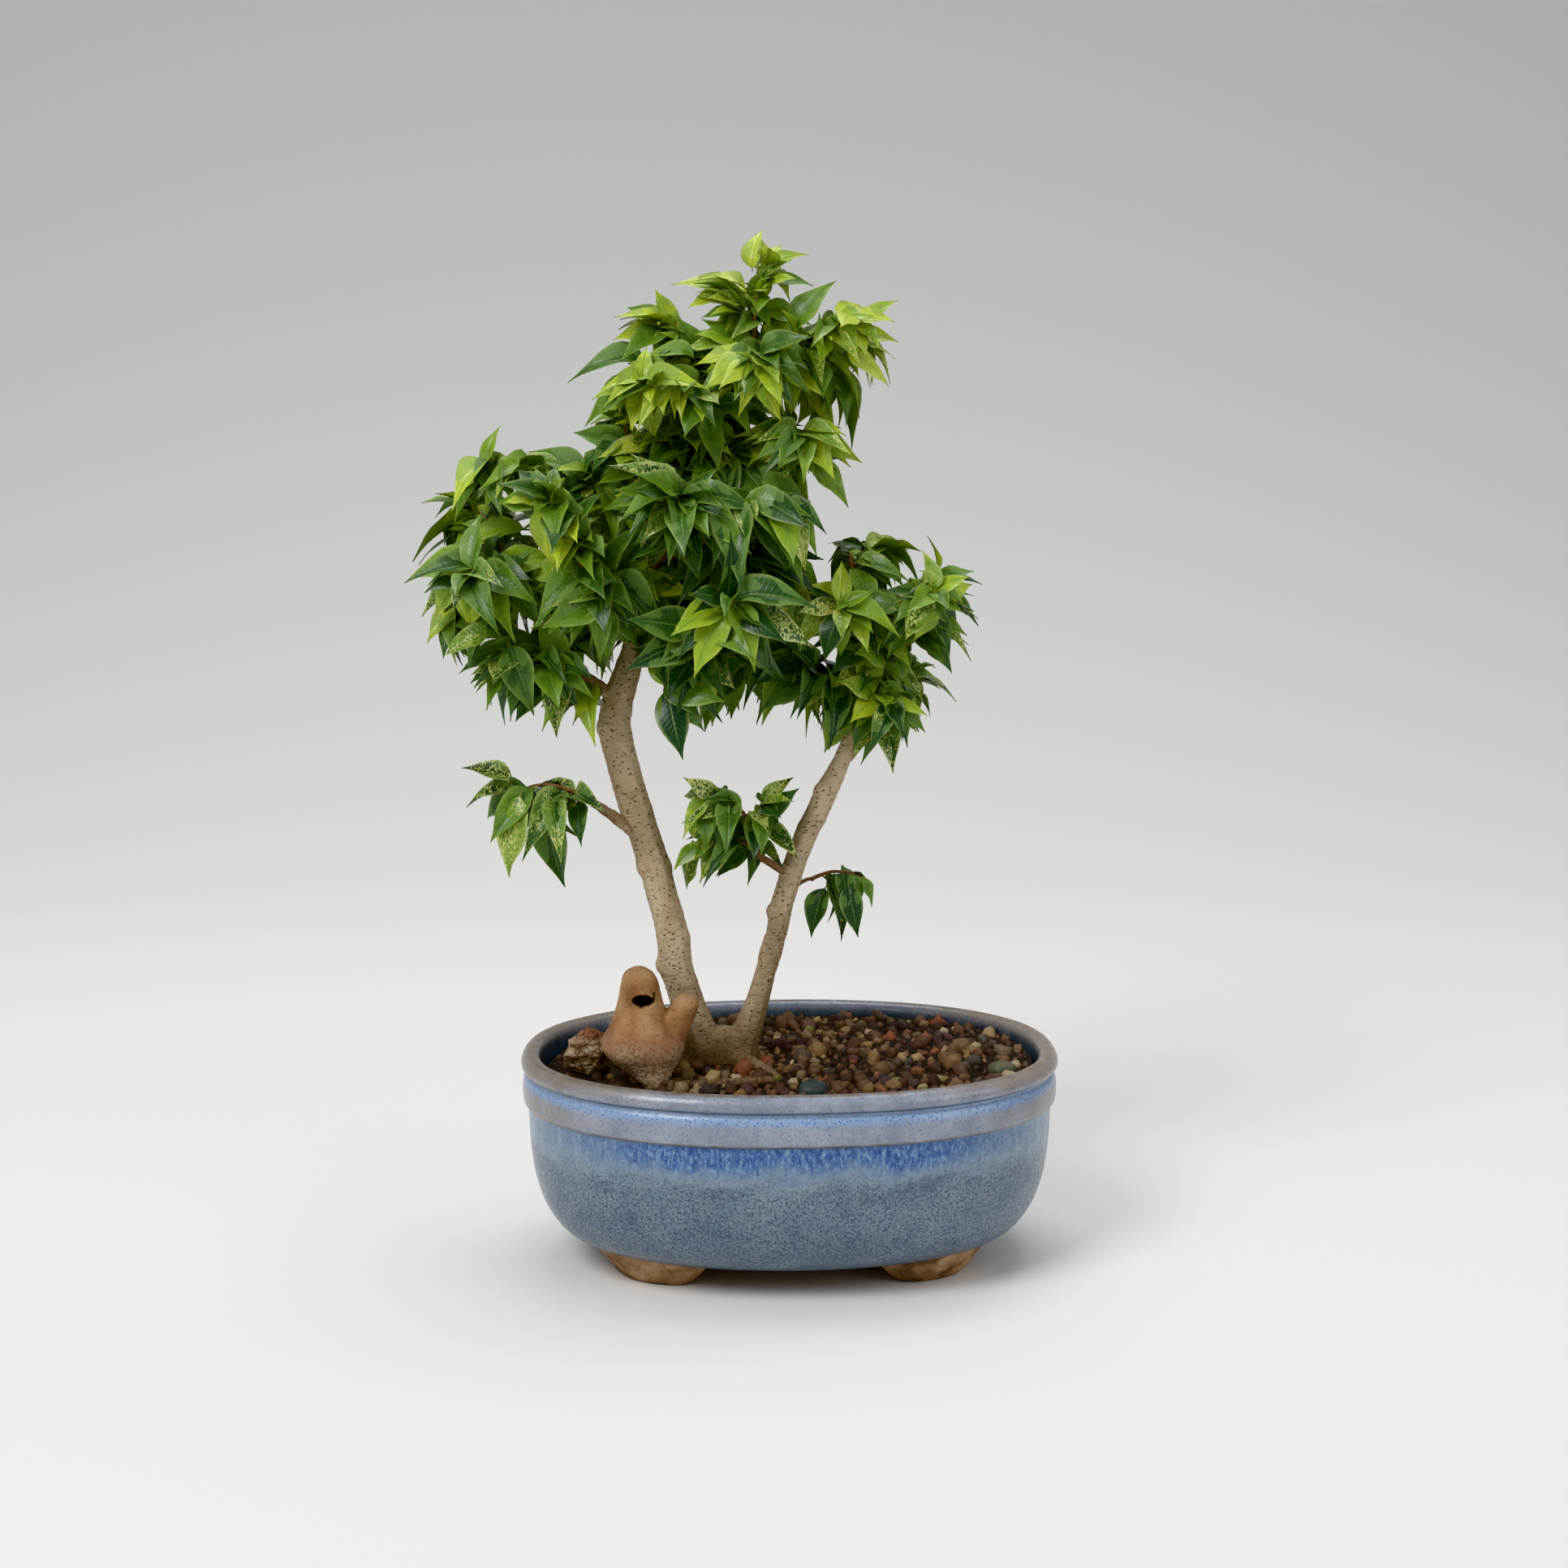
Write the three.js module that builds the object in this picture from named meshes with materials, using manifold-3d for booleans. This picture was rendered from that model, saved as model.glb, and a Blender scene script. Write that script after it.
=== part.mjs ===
// A weeping-fig bonsai with two trunks, in an oval stoneware pot on four feet.
// The pot holds potting soil over two drain screens, a gravel top dressing, a small clay bird whistle
// and a chip of rock. Millimetres, +Z up, +X to the right, +Y away from the front.
// The group stands on z = 0 and is centred on its own outline in x and y.
import * as THREE from "three";
import { mergeVertices } from "three/addons/utils/BufferGeometryUtils.js";
import Module from "manifold-3d";

const wasm = await Module();
wasm.setup();

// ---------- driving dimensions ----------

const GAP = 0.3; // between pieces that touch
const SMALLEST_EDGE = 0.02; // finer facets than this are merged

const POT_LENGTH = 240;
const POT_WIDTH = 178;
const POT_HEIGHT = 96;
const POT_WALL = 7;
const POT_FLOOR = 7;
const OVAL_POWER = 2.25; // 2 is an ellipse, more is squarer
const ROLL_RADIUS = 4.6; // the rolled lip
const BAND_HEIGHT = 14; // the raised band under the lip
const BODY_CURVE = 50; // height of the rounded lower body
const BODY_TUCK = 34; // how far the body draws in over that height
const FOOT_HEIGHT = 9.5;
const FOOT_LENGTH = 50;
const FOOT_DEPTH = 28;
const FOOT_TURN = 30; // degrees, so that each foot follows the oval
const FOOT_X = 60;
const FOOT_Y = 34;

const DRAIN_RADIUS = 11;
const DRAIN_X = 42;
const SCREEN_SIDE = 30;
const SCREEN_THICKNESS = 1;
const SCREEN_HOLES = 4; // along each side
const SCREEN_BAR = 1.8;

const SOIL_TOP = 82;
const GRAVEL_LEVEL = 90; // mean height of the gravel right of the trunks
const GRAVEL_DIP = 4; // how much lower it lies at the left end

const LEAF_WIDTH = 0.44; // of the blade's length
const LEAF_THICKNESS = 0.8;
const TWIG_RADIUS = 0.9;
const LEAVES_PER_SPRAY = 10;

// ---------- colours ----------

const finish = (color, roughness) => new THREE.MeshStandardMaterial({ color, roughness, metalness: 0 });
const glaze = finish(0x6f87a3, 0.35);
const bare_clay = finish(0xb08a5e, 0.85);
const potting_soil = finish(0x2c211a, 0.95);
const gravel_stone = finish(0x7a6353, 0.85);
const bark = finish(0xa99a7c, 0.8);
const terracotta = finish(0xa9744a, 0.85);
const rock = finish(0x94806a, 0.9);
const screen_plastic = finish(0x1d1f1e, 0.6);
const leaf_green = finish(0x3f7d2a, 0.4);

// ---------- tools ----------

// The points that a function gives at even steps of an angle, in degrees.
function arc(from, to, steps, point) {
  const angle = (i) => THREE.MathUtils.degToRad(from + ((to - from) * i) / steps);
  return Array.from({ length: steps + 1 }, (_, i) => point(angle(i)));
}

// A closed three.js geometry as a solid that can be joined and cut.
function solid(geometry) {
  const bare = geometry.clone();
  bare.deleteAttribute("normal");
  bare.deleteAttribute("uv");
  const merged = mergeVertices(bare, 1e-4);
  return new wasm.Manifold(
    new wasm.Mesh({
      numProp: 3,
      vertProperties: merged.attributes.position.array,
      triVerts: new Uint32Array(merged.index.array),
    }),
  );
}

function geometryOf(made) {
  const { vertProperties, triVerts } = made.getMesh();
  return new THREE.BufferGeometry()
    .setAttribute("position", new THREE.BufferAttribute(new Float32Array(vertProperties), 3))
    .setIndex(new THREE.BufferAttribute(new Uint32Array(triVerts), 1));
}

const joined = (solids) => solids.reduce((all, one) => all.add(one));
const part = new THREE.Group();

function place(name, made, material) {
  const mesh = new THREE.Mesh(geometryOf(made.asOriginal().simplify(SMALLEST_EDGE)), material);
  mesh.name = name;
  part.add(mesh);
}

// Moves every vertex of a geometry to where the function puts it.
function reshape(geometry, move) {
  const at = geometry.attributes.position;
  const v = new THREE.Vector3();
  for (let i = 0; i < at.count; i += 1) {
    v.fromBufferAttribute(at, i);
    move(v);
    at.setXYZ(i, v.x, v.y, v.z);
  }
  return geometry;
}

// The same words for vertices that share a place.
const spot = (...coordinates) => coordinates.map((c) => Math.round(c * 100) + 0).join();

// A repeatable stream of numbers from 0 to 1.
function dice(seed) {
  let state = seed * 7919 + 17;
  return () => {
    state = (state * 16807) % 2147483647;
    return state / 2147483647;
  };
}

// ---------- oval turning: a lathe whose rings are superellipses ----------

const HALF_LENGTH = POT_LENGTH / 2;
const SLIMMER = (POT_LENGTH - POT_WIDTH) / 2;
const FLOOR_RING = HALF_LENGTH - BODY_TUCK - 8; // inside this the rings shrink in proportion

// Turns [half length, height] points, going up the outside, into a solid of oval rings.
function ovalTurn(profile, segments) {
  const lathe = new THREE.LatheGeometry(
    profile.map(([r, z]) => new THREE.Vector2(Math.max(r, 0), z)),
    segments,
  ).rotateX(Math.PI / 2);
  const round = (c) => Math.sign(c) * Math.abs(c) ** (2 / OVAL_POWER);
  return reshape(lathe, (v) => {
    const r = Math.hypot(v.x, v.y);
    if (r < 1e-6) return;
    const across = r > FLOOR_RING ? r - SLIMMER : (r * (FLOOR_RING - SLIMMER)) / FLOOR_RING;
    v.set(r * round(v.x / r), across * round(v.y / r), v.z);
  });
}

// ---------- the pot ----------

const FLOOR_TOP = FOOT_HEIGHT + POT_FLOOR;
const ROLL_CENTRE = POT_HEIGHT - ROLL_RADIUS;
const BAND_TOP = ROLL_CENTRE - ROLL_RADIUS * 0.85;
const BAND_CENTRE = BAND_TOP - BAND_HEIGHT / 2;
const BODY_TOP = FOOT_HEIGHT + BODY_CURVE + 1;
const BODY_INSET = 3.5; // of the body's upper wall, from the lip's outermost line
const CAVITY_INSET = BODY_INSET + POT_WALL;
const POT_SEGMENTS = 40;

// The inside wall, from the floor's middle up to just under the lip, moved in by a clearance.
const cavityWall = (clearance) => [
  [0, FLOOR_TOP + clearance],
  ...arc(78, 0, 5, (a) => [
    HALF_LENGTH - CAVITY_INSET - clearance - (BODY_TUCK - 2) * (1 - Math.cos(a)),
    BODY_TOP + clearance - (BODY_TOP - FLOOR_TOP) * (Math.sin(a) / Math.sin(1.361)),
  ]),
];

// The rounded outside of the body from the base's middle up to the band, moved out by a clearance.
const bodyWall = (clearance) => [
  [0, FOOT_HEIGHT - clearance],
  ...arc(82, 0, 6, (a) => [
    HALF_LENGTH - BODY_INSET + clearance - BODY_TUCK * (1 - Math.cos(a)),
    BODY_TOP - clearance - BODY_CURVE * Math.sin(a),
  ]),
];

function pot() {
  const band = arc(-62, 62, 4, (a) => [
    HALF_LENGTH - 7 + 6.2 * Math.cos(a),
    BAND_CENTRE + (BAND_HEIGHT / 2) * (Math.sin(a) / 0.883),
  ]).slice(0, -1);
  const roll = arc(-52, 180, 7, (a) => [
    HALF_LENGTH - ROLL_RADIUS + ROLL_RADIUS * Math.cos(a),
    ROLL_CENTRE + ROLL_RADIUS * Math.sin(a),
  ]);
  const underBand = [HALF_LENGTH - BODY_INSET + 0.4, BAND_TOP - BAND_HEIGHT];
  const outline = [...bodyWall(0), underBand, ...band, ...roll, ...cavityWall(0).reverse()];
  const made = solid(ovalTurn(outline, POT_SEGMENTS));
  return made.subtract(drain(-1)).subtract(drain(1));
}

// A stub foot: a lump of clay narrow at the floor and pressed against the rounded body.
const FEET = {
  foot_front_left: [-1, -1],
  foot_front_right: [1, -1],
  foot_back_right: [1, 1],
  foot_back_left: [-1, 1],
};

function foot(sx, sy) {
  const tall = FOOT_HEIGHT + POT_FLOOR;
  const side = arc(0, 75, 4, (a) => [0.5 + 0.5 * Math.sin(a), tall * 0.9 * (1 - Math.cos(a))]);
  const stub = new THREE.LatheGeometry(
    [[0, 0], ...side, [1, tall], [0, tall]].map(([r, z]) => new THREE.Vector2(r, z)),
    16,
  )
    .rotateX(Math.PI / 2)
    .scale(FOOT_LENGTH / 2, FOOT_DEPTH / 2, 1)
    .rotateZ(THREE.MathUtils.degToRad(-FOOT_TURN * sx * sy))
    .translate(FOOT_X * sx, FOOT_Y * sy, 0);
  const body = ovalTurn([...bodyWall(GAP), [0, BODY_TOP]], POT_SEGMENTS);
  return solid(stub).subtract(solid(body));
}

function drain(side) {
  const hole = new THREE.CylinderGeometry(DRAIN_RADIUS, DRAIN_RADIUS, 4 * POT_FLOOR, 20);
  return solid(hole.rotateX(Math.PI / 2).translate(DRAIN_X * side, 0, FLOOR_TOP - POT_FLOOR / 2));
}

// ---------- the drain screens ----------

function screen(side) {
  const pitch = (SCREEN_SIDE - SCREEN_BAR) / SCREEN_HOLES;
  const plate = new THREE.BoxGeometry(SCREEN_SIDE, SCREEN_SIDE, SCREEN_THICKNESS);
  let made = solid(plate);
  for (let i = 0; i < SCREEN_HOLES; i += 1) {
    for (let j = 0; j < SCREEN_HOLES; j += 1) {
      const hole = new THREE.BoxGeometry(pitch - SCREEN_BAR, pitch - SCREEN_BAR, 3 * SCREEN_THICKNESS);
      const [x, y] = [i, j].map((n) => (n - (SCREEN_HOLES - 1) / 2) * pitch);
      made = made.subtract(solid(hole.translate(x, y, 0)));
    }
  }
  return made.translate([DRAIN_X * side, 0, FLOOR_TOP + GAP + SCREEN_THICKNESS / 2]);
}

function screenRecess(side) {
  const span = SCREEN_SIDE + 2 * GAP;
  const deep = SCREEN_THICKNESS + 3 * GAP;
  return solid(new THREE.BoxGeometry(span, span, deep).translate(DRAIN_X * side, 0, FLOOR_TOP + deep / 2));
}

// ---------- limbs: tapered round stems along a curve through [x, y, z, radius] points ----------

function curveThrough(points) {
  const stations = points.map(([x, y, z]) => new THREE.Vector3(x, y, z));
  return new THREE.CatmullRomCurve3(stations, false, "centripetal");
}

function limb(points, sides, steps, swell = 0) {
  const path = curveThrough(points);
  const radiusAt = (t) => {
    const along = t * (points.length - 1);
    const i = Math.min(Math.floor(along), points.length - 2);
    return THREE.MathUtils.lerp(points[i][3], points[i + 1][3], along - i) + swell;
  };
  const rings = [];
  const side = new THREE.Vector3(0.31, 0.95, 0.05);
  for (let i = 0; i <= steps; i += 1) {
    const tangent = path.getTangent(i / steps);
    side.projectOnPlane(tangent).normalize();
    rings.push({
      centre: path.getPoint(i / steps),
      side: side.clone(),
      up: new THREE.Vector3().crossVectors(side, tangent),
      radius: radiusAt(i / steps),
    });
  }
  return reshape(new THREE.CylinderGeometry(1, 1, 1, sides, steps), (v) => {
    const { centre, side: x, up, radius } = rings[Math.round((v.y + 0.5) * steps)];
    const [a, b] = [v.x * radius, v.z * radius];
    v.copy(centre).addScaledVector(x, a).addScaledVector(up, b);
  });
}

// ---------- the tree's wood: two trunks from one flared base, with roots and branches ----------

const TRUNK_LEFT = [
  [-38, 0, 78, 11], [-40, 0, 96, 10.5], [-43, 0, 107, 8.4], [-46, 0, 118, 7.4], [-51, -1, 133, 8],
  [-52, -1, 148, 7.6], [-57, 0, 166, 6.9], [-60, 1, 178, 7.4], [-64, 2, 191, 6.9], [-68, 2, 203, 7.4],
  [-72, 1, 218, 7.1], [-75, 0, 230, 7.5], [-77, -1, 242, 7.3], [-75, -1, 254, 7], [-70, 0, 267, 5.8],
  [-66, 2, 283, 5], [-62, 4, 305, 4.3], [-57, 3, 330, 3.6], [-53, 1, 352, 3], [-45, 0, 370, 2.6],
  [-32, 0, 385, 2.2], [-21, 0, 395, 1.9], [-16, 1, 406, 1.6], [-15, 1, 420, 1.2],
];
const TRUNK_RIGHT = [
  [-24, 0, 78, 9], [-21, 0, 97, 7.6], [-16, 0, 110, 5.7], [-11, 0, 129, 4.9], [-6, -1, 147, 5],
  [-4, -1, 158, 5.4], [1, 0, 174, 5.2], [7, 1, 191, 5.2], [13, 1, 203, 5.3], [18, 1, 214, 5],
  [23, 0, 225, 4], [28, -1, 237, 3.7], [32, 0, 249, 3.2], [35, 1, 262, 2.6], [34, 2, 280, 2],
  [31, 2, 294, 1.6], [28, 1, 306, 1.3], [26, 1, 316, 1],
];
const ROOTS = [
  [[-26, -4, 90, 7], [-17, -15, 90, 4.6], [-8, -28, 88, 3.2], [-2, -38, 86, 2.4], [6, -46, 79, 1.4]],
  [[-6, -34, 86, 2], [-11, -44, 88, 2.2], [-24, -47, 88.5, 2.5], [-37, -45, 87, 2.2], [-47, -40, 82, 1.4]],
  [[-40, 3, 92, 7], [-54, 12, 87, 4], [-70, 22, 79, 2]],
  [[-24, 6, 90, 6], [-10, 20, 86, 3.6], [6, 33, 78, 1.8]],
  [[-42, -3, 90, 6], [-56, -10, 85, 3.2], [-66, -14, 78, 1.8]],
];
const BASE_CENTRE = [-31, 0, 90];
const BASE_RADII = [17, 12, 15];

const base = (swell) => [
  solid(
    new THREE.SphereGeometry(1, 12, 8)
      .rotateX(Math.PI / 2)
      .scale(...BASE_RADII.map((r) => r + swell))
      .translate(...BASE_CENTRE),
  ),
  ...ROOTS.map((root) => solid(limb(root, 6, 5, swell))),
];
const trunks = (swell) => [solid(limb(TRUNK_LEFT, 9, 29, swell)), solid(limb(TRUNK_RIGHT, 8, 21, swell))];

const BRANCHES = [
  [[-64, 0, 189, 4], [-74, -4, 198, 2.7], [-84, -7, 206, 2.3], [-93, -9, 212, 1.9]],
  [[1, 0, 173, 3.4], [-4, -5, 177, 2.6], [-13, -9, 183, 2.2], [-17, -11, 193, 2], [-20, -12, 203, 1.6]],
  [[-2, 0, 163, 2.6], [4, 7, 168, 1.7], [11, 10, 170, 1.2]],
  [[-76, -1, 250, 3.5], [-86, -7, 262, 2.5], [-100, -12, 269, 1.9], [-113, -14, 273, 1.3]],
  [[-66, 2, 283, 3], [-82, 3, 292, 2.4], [-102, 4, 301, 1.8], [-120, 2, 305, 1.2]],
  [[-62, 4, 304, 2.8], [-76, 20, 312, 2.1], [-92, 33, 318, 1.3]],
  [[-63, 3, 298, 2.8], [-74, -16, 306, 2.1], [-88, -34, 310, 1.3]],
  [[-70, 0, 268, 3.2], [-56, -14, 274, 2.3], [-40, -30, 276, 1.4]],
  [[-68, 1, 274, 3], [-50, 4, 280, 2.3], [-30, 8, 281, 1.8], [-14, 8, 276, 1.2]],
  [[-66, 2, 284, 3], [-54, 22, 289, 2.1], [-40, 40, 288, 1.3]],
  [[-61, 4, 312, 2.6], [-42, 0, 317, 2], [-22, -4, 316, 1.3]],
  [[-57, 3, 330, 2.4], [-52, -16, 334, 1.8], [-46, -34, 330, 1.2]],
  [[-58, 4, 326, 2.4], [-52, 24, 330, 1.7], [-44, 40, 326, 1.2]],
  [[-55, 2, 344, 2.2], [-66, 0, 358, 1.8], [-72, -3, 374, 1.2]],
  [[-51, 1, 357, 2.2], [-34, 4, 362, 1.9], [-12, 8, 362, 1.6], [6, 9, 357, 1.2]],
  [[-57, 3, 332, 2.2], [-76, 6, 342, 1.7], [-98, 8, 346, 1.1]],
  [[-43, 0, 372, 1.8], [-40, -12, 380, 1.4], [-36, -20, 384, 1.1]],
  [[-21, 0, 395, 1.6], [-8, -2, 399, 1.3], [5, -3, 403, 1.1]],
  [[33, 0, 252, 1.8], [22, -5, 260, 1.4], [12, -8, 263, 1]],
  [[35, 1, 264, 1.7], [45, 2, 272, 1.3], [52, 2, 276, 1]],
  [[31, 0, 246, 1.8], [41, 5, 251, 1.4], [52, 7, 251, 1]],
];

const wood = joined([
  ...base(0),
  ...trunks(0),
  ...BRANCHES.map((branch) => solid(limb(branch, 5, 4))),
]);

// ---------- the bird whistle: a hollow clay body with a blow hole and a tail ----------

const WHISTLE_AT = [-66, -32, 86];
const WHISTLE_LEAN = [10, 4]; // degrees back and to the left
const WHISTLE_OUTLINE = [
  [0, 0], [4, 2], [10, 9], [15.5, 17], [17.5, 25], [15.5, 33], [12, 40], [10, 46], [7, 51], [0, 53],
];
const WHISTLE_WALL = 3;

function whistle(swell) {
  const turned = (inset) =>
    new THREE.LatheGeometry(
      WHISTLE_OUTLINE.map(([r, z]) => new THREE.Vector2(r > 0 ? Math.max(r + swell - inset, 0) : 0, z)),
      16,
    ).rotateX(Math.PI / 2);
  const tail = limb([[10, 2, 24, 8], [16, 4, 32, 6.4], [19, 5, 39, 5]], 8, 4, swell);
  let made = solid(turned(0)).add(solid(tail));
  if (swell === 0) {
    const shrink = 1 - WHISTLE_WALL / 17.5;
    const hollow = turned(0).scale(shrink, shrink, shrink).translate(0, 0, 53 * (1 - shrink) * 0.5);
    const mouth = new THREE.CylinderGeometry(3.6, 4.4, 12, 10).scale(1, 1, 0.6).translate(0, -10, 42);
    made = made.subtract(solid(hollow)).subtract(solid(mouth));
  }
  const [back, left] = WHISTLE_LEAN;
  return made.rotate([-back, -left, 0]).translate(WHISTLE_AT);
}

// ---------- the rock chip and the largest pebbles ----------

// A broken stone: an icosahedron with its corners moved in and out.
function stone([x, y, z], [a, b, c], seed, swell = 0) {
  const roll = dice(seed);
  const shape = new THREE.IcosahedronGeometry(1, 0);
  const moved = new Map();
  return solid(
    reshape(shape, (v) => {
      const key = spot(v.x, v.y, v.z);
      if (!moved.has(key)) moved.set(key, 0.85 + 0.3 * roll());
      const grow = moved.get(key);
      v.set(x + v.x * (a * grow + swell), y + v.y * (b * grow + swell), z + v.z * (c * grow + swell));
    }),
  );
}

const STONES = [
  { name: "rock_chip", at: [-90, -12, 97], radii: [12, 10, 13], seed: 3, material: rock },
  { name: "pebble_grey", at: [7, -62, 91], radii: [7, 5.5, 5.5], seed: 5, material: gravel_stone },
  { name: "pebble_green", at: [92, -32, 92], radii: [8, 6, 4.5], seed: 8, material: gravel_stone },
];
const stones = (swell) => STONES.map(({ at, radii, seed }) => stone(at, radii, seed, swell));

// ---------- soil and gravel ----------

const GRAVEL_EDGE = HALF_LENGTH - CAVITY_INSET - GAP;
const gravelTop = (x) => GRAVEL_LEVEL - GRAVEL_DIP * THREE.MathUtils.smoothstep(-x, 20, 100);

function soil() {
  const top = [[GRAVEL_EDGE, SOIL_TOP - GAP], [0, SOIL_TOP - GAP]];
  const made = solid(ovalTurn([...cavityWall(GAP), ...top], POT_SEGMENTS));
  const cuts = [screenRecess(-1), screenRecess(1), ...base(GAP), ...trunks(GAP)];
  return cuts.reduce((rest, cut) => rest.subtract(cut), made);
}

function gravel() {
  const rings = 7;
  const edge = GRAVEL_EDGE - GAP;
  const profile = [[0, SOIL_TOP], [edge, SOIL_TOP]];
  for (let i = rings; i >= 0; i -= 1) profile.push([(edge * i) / rings, GRAVEL_LEVEL]);
  const roll = dice(11);
  const lumps = new Map();
  const bed = reshape(ovalTurn(profile, 32), (v) => {
    if (v.z < SOIL_TOP + 1) return;
    const key = spot(v.x, v.y);
    if (!lumps.has(key)) lumps.set(key, 2.4 * roll() - 1.2);
    v.z = gravelTop(v.x) + lumps.get(key);
  });
  const cuts = [...base(GAP), ...trunks(GAP), whistle(GAP), ...stones(GAP)];
  return cuts.reduce((made, cut) => made.subtract(cut), solid(bed));
}

// ---------- leafy sprays: a twig with alternate leaves ----------

const UP = new THREE.Vector3(0, 0, 1);

// One leaf, base at the origin, blade along +Y with its face up: pointed, folded along the middle
// and bent down.
function leafSolid(length, frame, at, grow = 0) {
  const half = (LEAF_WIDTH * length) / 2 + grow;
  const thick = LEAF_THICKNESS + 2 * grow;
  const corners = {
    "1,0,0": [half, 0.46 * length, -0.07 * length],
    "-1,0,0": [-half, 0.46 * length, -0.07 * length],
    "0,1,0": [0, length + grow, -0.2 * length],
    "0,-1,0": [0, 0, 0],
    "0,0,1": [0, 0.46 * length, grow],
    "0,0,-1": [0, 0.46 * length, grow - thick],
  };
  const leaf = reshape(new THREE.OctahedronGeometry(1, 0), (v) => {
    v.set(...corners[v.toArray().map((n) => Math.round(n) + 0).join()]);
  });
  return solid(leaf.applyMatrix4(frame).translate(...at.toArray()));
}

// Whether a solid near a centre meets any of the solids in a list.
const taken = (candidate, centre, reach, others) =>
  others.some((other) => {
    if (other.centre && other.centre.distanceTo(centre) > other.reach + reach) return false;
    return candidate.intersect(other.solid).volume() > 0;
  });

// Where the twigs end: a puff of foliage is an ellipsoid that a number of twig tips share out evenly.
const PUFFS = [
  { name: "low_left", centre: [-107, -9, 213], radii: [15, 9, 5], twigs: 2, leaf: 29, hang: 0.9 },
  { name: "low_inner", centre: [-28, -10, 197], radii: [20, 13, 16], twigs: 4, leaf: 23, hang: 0.9 },
  { name: "low_outer", centre: [27, 10, 172], radii: [5, 4, 3], twigs: 1, leaf: 25, hang: 1.3 },
  { name: "left", centre: [-112, 0, 314], radii: [50, 58, 44], twigs: 10, leaf: 30, hang: 0.8 },
  { name: "middle", centre: [-40, 0, 306], radii: [54, 62, 58], twigs: 11, leaf: 32, hang: 1 },
  { name: "upper", centre: [-32, 0, 378], radii: [56, 43, 36], twigs: 7, leaf: 27, hang: 0.7 },
  { name: "top", centre: [-14, 0, 430], radii: [14, 11, 9], twigs: 2, leaf: 22, hang: 0.2 },
  { name: "top_right", centre: [22, 0, 411], radii: [11, 13, 9], twigs: 2, leaf: 23, hang: 0.5 },
  { name: "right", centre: [33, 0, 285], radii: [40, 38, 42], twigs: 7, leaf: 24, hang: 0.9 },
];
const SHORTEST_TWIG = 14;
const LEAFY_END = 38; // of each twig

// A place in the puff that is far from the other tips.
function freeTip({ centre, radii }, roll, tips) {
  let best = null;
  for (let i = 0; i < 30; i += 1) {
    const tip = new THREE.Vector3(2 * roll() - 1, 2 * roll() - 1, 2 * roll() - 1).normalize();
    tip.multiplyScalar(0.6 + 0.4 * roll()).multiply(new THREE.Vector3(...radii));
    tip.add(new THREE.Vector3(...centre));
    const room = Math.min(...tips.map((other) => other.distanceTo(tip)));
    if (!best || room > best.room) best = { tip, room };
  }
  return best.tip;
}

const woodLine = [...BRANCHES, TRUNK_LEFT.slice(8), TRUNK_RIGHT.slice(6)].flatMap((points) =>
  curveThrough(points).getSpacedPoints(24).slice(6),
);

// The wood's nearest point that is not too close to a tip, with a liking for points lower than the tip.
function twigFoot(tip) {
  const cost = (p) => {
    const long = p.distanceTo(tip);
    const below = 0.6 * Math.max(0, p.z - tip.z);
    return long + below + (long < SHORTEST_TWIG ? 99 : 0);
  };
  return woodLine.reduce((best, p) => (cost(p) < cost(best) ? p : best));
}

// A twig that starts a gap away from the bark, arches to its tip and is clear of everything.
function twig(puff, roll, tips, others) {
  for (let tries = 0; tries < 60; tries += 1) {
    const tip = freeTip(puff, roll, tips);
    const root = twigFoot(tip);
    const heading = tip.clone().sub(root).normalize();
    for (let off = 2 * GAP; off < 8; off += GAP) {
      const start = root.clone().addScaledVector(heading, off);
      const long = start.distanceTo(tip);
      const points = [0, 0.35, 0.7, 1].map((s) => {
        const p = start.clone().lerp(tip, s);
        p.z += long * 0.5 * s * (1 - s);
        return [...p.toArray(), TWIG_RADIUS * (1.15 - 0.5 * s)];
      });
      const grown = solid(limb(points, 3, 4, GAP));
      const centre = new THREE.Vector3(...points[1]);
      if (taken(grown, centre, long, others)) continue;
      tips.push(tip);
      return { points, heading, long, made: solid(limb(points, 3, 4)), solid: grown, centre, reach: long };
    }
  }
  throw new Error(`no room for a twig in the puff ${puff.name}`);
}

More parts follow.
